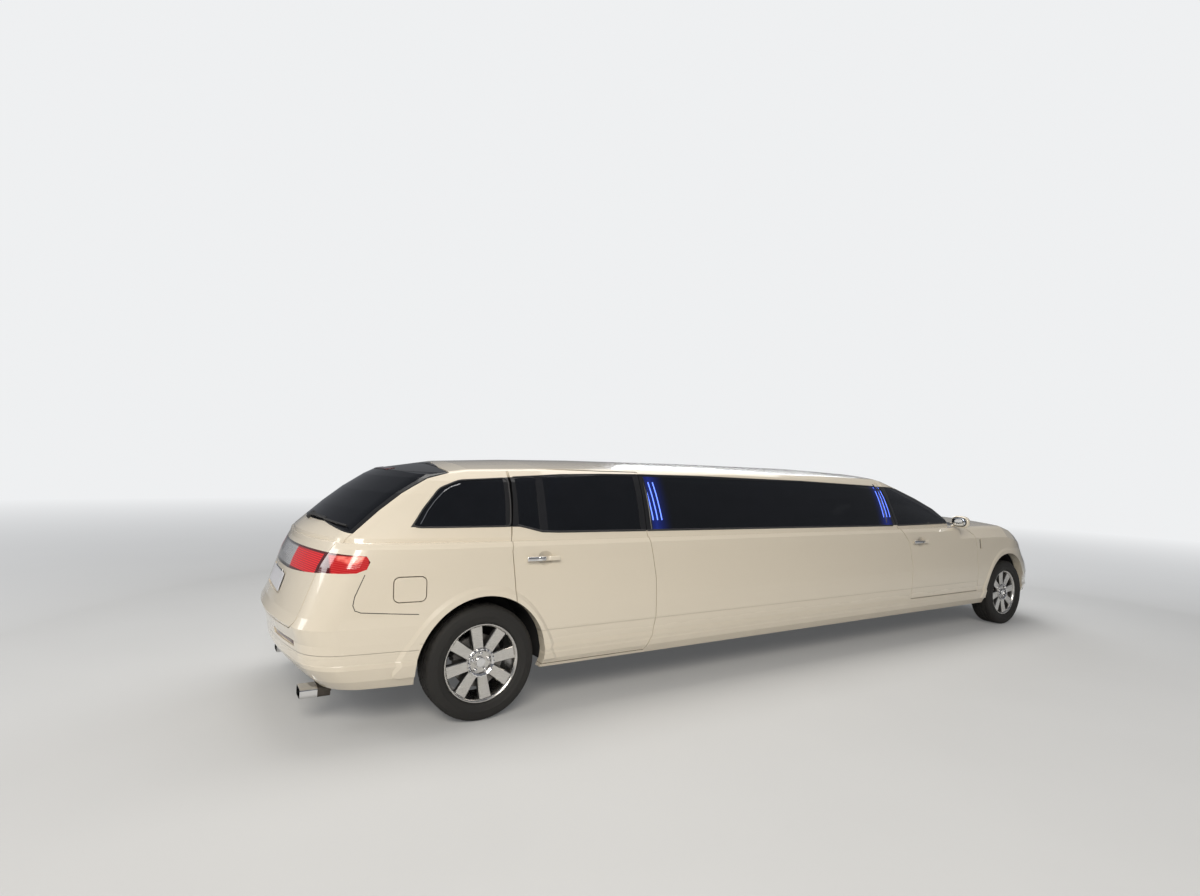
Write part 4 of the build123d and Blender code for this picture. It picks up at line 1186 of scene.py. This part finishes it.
def rear_wiper():
    """Blade, arm and pivot on the rear glass."""
    glass = Skin("liftgate_glass", "liftgate")
    shape = bmesh.new()
    spots = [(-0.10 - 0.55 * t, 1.270 - 0.034 * t) for t in fractions(15)]
    along(shape, *laid(glass.tail, spots, [0.004] * len(spots)), blade(0.006))
    arm = [(-0.02 - 0.34 * t, 1.258 + 0.002 * t) for t in fractions(9)]
    lifts = [0.012 + 0.014 * sin(pi * min(1, 1.2 * t)) for t in fractions(9)]
    along(shape, *laid(glass.tail, arm, lifts), half_round(0.020, 0.009))
    pivot = [(-0.02 + 0.034 * cos(turn), 1.258 + 0.022 * sin(turn)) for turn in turns(24)]
    plate_on(shape, glass.tail, pivot, -0.002, 0.022)
    piece("rear_wiper", shape, PLASTIC, "liftgate", sharp=50)


def front_wipers():
    """Two blades at the foot of the windshield."""
    screen = Skin("windshield", "cowl", "hood")
    shape = bmesh.new()
    for start, stop in ((0.62, 0.02), (-0.05, -0.58)):
        spots = [
            (FRONT_AXLE - 0.735 - 0.045 * sin(pi * (0.1 + 0.8 * t)), start + (stop - start) * t)
            for t in fractions(16)
        ]
        along(shape, *laid(screen.top, spots, [0.006] * len(spots)), blade(0.007))
    piece("front_wipers", shape, PLASTIC, "body", sharp=50)


MIRROR_OUT = 0.999
MIRROR_HEIGHT = 1.219


def mirror_housing(side, sign):
    """A rounded housing on a short arm."""
    shape = bmesh.new()
    rings = []
    for k in range(17):
        t = -1 + 2 * k / 16
        swell = max(1 - abs(t) ** 3.2, 0.004) ** 0.5
        ring = []
        for turn in turns(32):
            depth = 0.056 if cos(turn) > 0 else 0.030
            ring.append(Vector((
                FRONT_AXLE - 1.098 + depth * swell * squared(cos(turn), 0.75),
                sign * (MIRROR_OUT + 0.0975 * t),
                MIRROR_HEIGHT + 0.064 * swell * squared(sin(turn), 0.70) - 0.004 * t)))
        rings.append(ring)
    skin(shape, rings)
    # The arm's sections: place across, height, half length and half thickness.
    arm = (
        (0.905, 1.168, 0.040, 0.016), (0.925, 1.172, 0.034, 0.015), (0.945, 1.184, 0.028, 0.016),
        (0.965, 1.200, 0.022, 0.018),
    )
    skin(shape, [
        [Vector((FRONT_AXLE - 1.080 + half * cos(turn), sign * y, z + tall * sin(turn)))
         for turn in turns(20)]
        for y, z, half, tall in arm
    ])
    made = piece(f"mirror_housing_{side}", shape, PAINT, f"door_front_{side}", sharp=60)
    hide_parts(f"mirror_{side}")


def mirror_pane(side, sign):
    """The silvered glass in its black rim, sunk in the housing's rear face."""
    shape = bmesh.new()
    for half, tall, proud, index in ((0.078, 0.050, 0.0, 0), (0.070, 0.043, 0.003, 1)):
        rings = []
        for size, x in ((1.0, 0.020), (1.0, -0.0015), (0.97, -0.0030), (0.5, -0.0030), (0.02, -0.0030)):
            rings.append([Vector((
                FRONT_AXLE - 1.128 + x - proud * 0.4,
                sign * (MIRROR_OUT + half * size * squared(cos(turn), 0.7)),
                MIRROR_HEIGHT + tall * size * squared(sin(turn), 0.75))) for turn in turns(48)])
        skin(shape, rings, index=index)
    piece(f"mirror_glass_{side}", shape, (PILLAR, MIRROR), f"door_front_{side}", sharp=50)


def grille_surround():
    """A bright frame that follows the grille's own upper edge."""
    face = Skin("front_bumper", "grille")
    bars = Skin("grille")
    count = 32
    top = []
    for k in range(count + 1):
        y = -0.396 + 0.792 * k / count
        z = 0.668
        while z > 0.58 and bars.nose(y, z)[0] is None:
            z -= 0.003
        top.append((y, z + 0.008))
    outline = top + [(0.404, 0.560), (0.400, 0.474), (0.0, 0.474), (-0.400, 0.474), (-0.404, 0.560)]
    spots = between(outline + outline[:1], 0.03)[:-1]
    path, ups = laid(face.nose, spots, [STRIP_LIFT] * len(spots))
    shape = bmesh.new()
    along(shape, path, ups, half_round(0.016, 0.008), closed=True)
    piece("grille_surround", shape, CHROME, "body", sharp=50)


LAMP_HEIGHT = 0.782
# Headlamp projectors by place across and radius.
PROJECTORS = ((0.575, 0.036), (0.690, 0.032))
LENS_SHARE = 0.62


def headlamp_projectors():
    """Dark bezels and bright projectors on the headlamps."""
    lamps = Skin("headlamps")
    bright, dark = bmesh.new(), bmesh.new()
    for sign in (-1, 1):
        for y, radius in PROJECTORS:
            middle = sign * y
            ring = [(middle + radius * cos(turn), LAMP_HEIGHT + radius * sin(turn)) for turn in turns(32)]
            if not plate_on(dark, lamps.nose, ring, 0.0004, 0.0025):
                continue
            inner = [
                (middle + LENS_SHARE * (p[0] - middle), LAMP_HEIGHT + LENS_SHARE * (p[1] - LAMP_HEIGHT))
                for p in ring
            ]
            plate_on(bright, lamps.nose, inner, 0.0028, 0.0025)
    piece("headlamp_bezels", dark, PILLAR, "body", sharp=50)
    piece("headlamp_projectors", bright, MIRROR, "body", sharp=50)


for side, sign in SIDES:
    quarter_strips(side, sign)
    rear_door_strips(side, sign)
    centre_strips(side, sign)
    front_door_strips(side, sign)
    light_strips(side, sign)
    seams(side, sign)
    for end, x, z in HANDLES:
        handle(end, side, sign, x, z)
    mirror_housing(side, sign)
    mirror_pane(side, sign)
    fender_vent(side, sign)
tail_details()
rear_wiper()
front_wipers()
grille_surround()
headlamp_projectors()


# Upholstery

# Sewn channels across a pad, as shares of its width, and how wide and deep they sink.
SEWN_LINES = (-0.18, 0.18)
CHANNEL_WIDTH, CHANNEL_DEPTH = 0.022, 0.16
PAD_VOXEL = 0.009
SIM_FRAMES = 20

def evaluated(made):
    """Replace an object's mesh by its evaluated copy and drop the modifiers."""
    mesh = bpy.data.meshes.new_from_object(made.evaluated_get(bpy.context.evaluated_depsgraph_get()))
    made.modifiers.clear()
    made.data = mesh


def blown_pad(name, size, cap):
    """A pad swollen by a short cloth simulation, as points and faces in a box of side 1.

    No point moves further than the cap.
    """
    shape = bmesh.new()
    brick(shape, [-0.5 * s for s in size], [0.5 * s for s in size])
    mesh = bpy.data.meshes.new(name)
    shape.to_mesh(mesh)
    shape.free()
    made = bpy.data.objects.new(name, mesh)
    bpy.context.scene.collection.objects.link(made)
    rounder = made.modifiers.new("rounder", "BEVEL")
    rounder.width = 0.26 * min(size)
    rounder.segments = 4
    even = made.modifiers.new("even", "REMESH")
    even.mode = "VOXEL"
    even.voxel_size = PAD_VOXEL
    evaluated(made)
    before = [v.co.copy() for v in made.data.vertices]
    cloth = made.modifiers.new("cloth", "CLOTH")
    cloth.settings.quality = 4
    cloth.settings.mass = 0.3
    cloth.settings.use_pressure = True
    cloth.settings.uniform_pressure_force = 4
    cloth.settings.effector_weights.gravity = 0
    cloth.point_cache.frame_start = 1
    cloth.point_cache.frame_end = SIM_FRAMES
    for frame_number in range(1, SIM_FRAMES + 1):
        bpy.context.scene.frame_set(frame_number)
    evaluated(made)
    bpy.context.scene.frame_set(1)
    after = []
    for old, vertex in zip(before, made.data.vertices):
        move = vertex.co - old
        if move.length > cap:
            move *= cap / move.length
        after.append(old + move)
    low = [min(p[a] for p in after) for a in range(3)]
    high = [max(p[a] for p in after) for a in range(3)]
    unit = [Vector([(p[a] - low[a]) / (high[a] - low[a]) - 0.5 for a in range(3)]) for p in after]
    for point in unit:
        for line in SEWN_LINES:
            near = ((point.y - line) / CHANNEL_WIDTH) ** 2
            if near < 6 and abs(point.x) < 0.47:
                point.z *= 1 - CHANNEL_DEPTH * 2.718 ** -near
    faces = [list(p.vertices) for p in made.data.polygons]
    bpy.data.objects.remove(made)
    return unit, faces


# Which of a pad's own axes lies along the car's X, Y and Z.
FLAT, UPRIGHT, SIDEWAYS, CROSSWISE = (0, 1, 2), (2, 1, 0), (0, 2, 1), (1, 0, 2)


def add_pad(shape, pad, low, high, order=FLAT, tilt=0.0):
    """Fit a blown pad into a box; tilt leans it backwards about the car's Y axis."""
    unit, faces = pad
    middle = (Vector(low) + Vector(high)) / 2
    size = Vector(high) - Vector(low)
    turn = Matrix.Rotation(tilt, 3, "Y")
    verts = []
    for point in unit:
        placed = Vector([size[a] * point[order[a]] for a in range(3)])
        verts.append(shape.verts.new(middle + turn @ placed))
    for face in faces:
        shape.faces.new([verts[i] for i in face])


def seat_pads(name, rows, replaced):
    """All pads of one seat as one soft piece that stands for the plain seat."""
    shape = bmesh.new()
    for row in rows:
        add_pad(shape, *row)
    made = piece(name, shape, SEAT, "body", sharp=80)
    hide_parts(replaced)


CUSHION = blown_pad("cushion_form", (0.46, 0.48, 0.12), 0.025)
BOLSTER = blown_pad("bolster_form", (0.44, 0.08, 0.08), 0.012)


def front_seats():
    """Two bucket seats with side bolsters, head rests and hard shells."""
    rows = []
    shells = bmesh.new()
    seat_lean, back_lean, head_lean = -0.07, -0.16, -0.10
    x = FRONT_AXLE - 1.64
    for y in (-0.38, 0.38):
        rows += [
            (CUSHION, (x - 0.22, y - 0.19, 0.535), (x + 0.27, y + 0.19, 0.675), FLAT, seat_lean),
            (CUSHION, (x - 0.37, y - 0.18, 0.62), (x - 0.24, y + 0.18, 1.15), UPRIGHT, back_lean),
            (BOLSTER, (x - 0.47, y - 0.13, 1.165), (x - 0.36, y + 0.13, 1.315), CROSSWISE, head_lean),
        ]
        for edge in (-0.215, 0.215):
            inner, outer = y + edge - 0.05, y + edge + 0.05
            rows += [
                (BOLSTER, (x - 0.20, inner, 0.54), (x + 0.25, outer, 0.70), FLAT, seat_lean),
                (BOLSTER, (x - 0.36, inner, 0.66), (x - 0.22, outer, 1.10), UPRIGHT, back_lean),
            ]
        brick(shells, (x - 0.24, y - 0.24, 0.42), (x + 0.24, y + 0.24, 0.545))
        brick(shells, (x - 0.20, y - 0.20, 0.355), (x - 0.15, y + 0.20, 0.43))
        brick(shells, (x + 0.14, y - 0.20, 0.355), (x + 0.19, y + 0.20, 0.43))
        brick(shells, (x - 0.415, y - 0.21, 0.60), (x - 0.375, y + 0.21, 1.13),
              turn=Matrix.Rotation(back_lean, 3, "Y"))
        for post in (-0.06, 0.06):
            brick(shells, (x - 0.415, y + post - 0.006, 1.08), (x - 0.403, y + post + 0.006, 1.20))
    seat_pads("front_seat_pads", rows, "front_seats")
    piece("front_seat_shells", shells, PLASTIC, "body", bevel=0.008)


def rear_bench():
    """A bench of three places across the car."""
    rows = []
    seat_lean, back_lean = -0.06, -0.14
    x = REAR_AXLE + 0.42
    for y in (-0.36, 0.0, 0.36):
        rows += [
            (CUSHION, (x - 0.24, y - 0.178, 0.53), (x + 0.27, y + 0.178, 0.69), FLAT, seat_lean),
            (CUSHION, (x - 0.385, y - 0.178, 0.64), (x - 0.235, y + 0.178, 1.17), UPRIGHT, back_lean),
        ]
    seat_pads("rear_bench_pads", rows, "rear_seat")
    shells = bmesh.new()
    brick(shells, (x - 0.25, -0.53, 0.355), (x + 0.25, 0.53, 0.545))
    brick(shells, (x - 0.43, -0.53, 0.50), (x - 0.385, 0.53, 1.15),
          turn=Matrix.Rotation(back_lean, 3, "Y"))
    piece("rear_bench_shell", shells, TRIM, "body", bevel=0.01)


def side_bench():
    """A bench of five places along the car's left side."""
    low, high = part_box("side_seat")
    places, gap = 5, 0.003
    run = (high[0] - low[0]) / places
    rows = []
    for k in range(places):
        start, stop = low[0] + k * run + gap, low[0] + (k + 1) * run - gap
        rows += [
            (CUSHION, (start, 0.330, 0.530), (stop, 0.720, 0.690), FLAT, 0.0),
            (CUSHION, (start, 0.665, 0.680), (stop, 0.790, 1.110), SIDEWAYS, 0.0),
        ]
    seat_pads("side_bench_pads", rows, "side_seat")
    shells = bmesh.new()
    brick(shells, (low[0], 0.350, 0.355), (high[0], 0.770, 0.540))
    brick(shells, (low[0], 0.760, 0.540), (high[0], 0.800, 1.090))
    piece("side_bench_shell", shells, TRIM, "body", bevel=0.01)


front_seats()
rear_bench()
side_bench()


# Stage, light and camera


BACKDROP = (0.86, 0.87, 0.88)
FLOOR_HALF = 60


def floor():
    """A plain pale floor that fades into the backdrop where the camera sees it far off."""
    mesh = bpy.data.meshes.new("studio_floor")
    corners = [(x * FLOOR_HALF, y * FLOOR_HALF, 0) for x, y in ((-1, -1), (1, -1), (1, 1), (-1, 1))]
    mesh.from_pydata(corners, [], [(0, 1, 2, 3)])
    f = Finish("studio_floor", Roughness=0.8)
    x, y, _ = f.axes()
    cloud = f.noise(0.8, 2.0)
    f.set(Base_Color=f.mix(cloud, (0.60, 0.60, 0.59), (0.64, 0.64, 0.63)))
    away = ((x * x + y * y).power(0.5) * (1 / 16) - 0.42).clamped()
    seen = f.node("ShaderNodeLightPath")[0]
    backdrop = f.node("ShaderNodeEmission", None, BACKDROP, 1.0)[0]
    surface = Wire(f, f.surface.outputs[0])
    share = (away.power(0.6) * 0.9 + 0.1) * seen
    f.put(f.output.inputs["Surface"], f.node("ShaderNodeMixShader", None, share, surface, backdrop)[0])
    mesh.materials.append(f.material)
    ground = bpy.data.objects.new("studio_floor", mesh)
    bpy.context.scene.collection.objects.link(ground)


def world():
    """A dim even sky for light, seen by the camera as the pale backdrop."""
    scene = bpy.context.scene
    scene.world = bpy.data.worlds.new("studio")
    scene.world.use_nodes = True
    tree = scene.world.node_tree
    tree.nodes.clear()
    output = tree.nodes.new("ShaderNodeOutputWorld")
    seen = tree.nodes.new("ShaderNodeBackground")
    light = tree.nodes.new("ShaderNodeBackground")
    mixed = tree.nodes.new("ShaderNodeMixShader")
    path = tree.nodes.new("ShaderNodeLightPath")
    seen.inputs[0].default_value = (*BACKDROP, 1)
    seen.inputs[1].default_value = 1.0
    light.inputs[0].default_value = (0.84, 0.87, 0.94, 1)
    light.inputs[1].default_value = 0.22
    tree.links.new(path.outputs["Is Camera Ray"], mixed.inputs[0])
    tree.links.new(light.outputs[0], mixed.inputs[1])
    tree.links.new(seen.outputs[0], mixed.inputs[2])
    tree.links.new(mixed.outputs[0], output.inputs[0])


def lamp(name, place, target, size, power, colour=(1, 1, 1)):
    """A soft rectangular light aimed at a point."""
    light = bpy.data.lights.new(name, "AREA")
    light.shape = "RECTANGLE"
    light.size, light.size_y = size
    light.energy = power
    light.color = colour
    made = bpy.data.objects.new(name, light)
    made.location = place
    made.rotation_euler = (Vector(target) - Vector(place)).to_track_quat("-Z", "Y").to_euler()
    bpy.context.scene.collection.objects.link(made)


# The photograph's width and the camera's focal length in its pixels, from a fit to the wheels and tail.
PHOTO_WIDTH, FOCAL_PIXELS = 1200, 660.458941
SENSOR_WIDTH = 36


def camera():
    """The photograph's viewpoint: behind the car's right rear corner, at head height."""
    yaw, pitch, roll = 1.00485752, 0.0264387114, 0.0388554095
    ahead = Vector((cos(pitch) * cos(yaw), cos(pitch) * sin(yaw), sin(pitch)))
    flat_right = Vector((sin(yaw), -cos(yaw), 0))
    flat_up = flat_right.cross(ahead)
    right = flat_right * cos(roll) + flat_up * sin(roll)
    up = flat_up * cos(roll) - flat_right * sin(roll)
    turn = Matrix((right, up, -ahead)).transposed().to_4x4()
    data = bpy.data.cameras.new("photo_view")
    data.sensor_width = SENSOR_WIDTH
    data.lens = SENSOR_WIDTH * FOCAL_PIXELS / PHOTO_WIDTH
    data.clip_end = 200
    made = bpy.data.objects.new("photo_view", data)
    made.matrix_world = Matrix.Translation((REAR_AXLE - 1.71097367, -4.94067044, 1.67740847)) @ turn
    bpy.context.scene.collection.objects.link(made)
    bpy.context.scene.camera = made


floor()
world()
camera()
bpy.context.scene.view_settings.view_transform = "Standard"
lamp("key_softbox", (-8, -9, 7), (-0.5, 0, 0.8), (6, 4), 900, (1, 0.95, 0.87))
lamp("top_softbox", (1, 1, 8), (1, 0, 0), (12, 4), 420, (1, 0.98, 0.95))
lamp("fill_softbox", (8, 8, 6), (0, 0, 0.6), (7, 4), 420, (0.92, 0.96, 1))
lamp("rear_softbox", (-12, 3, 5), (-3, 0, 0.8), (5, 4), 260)
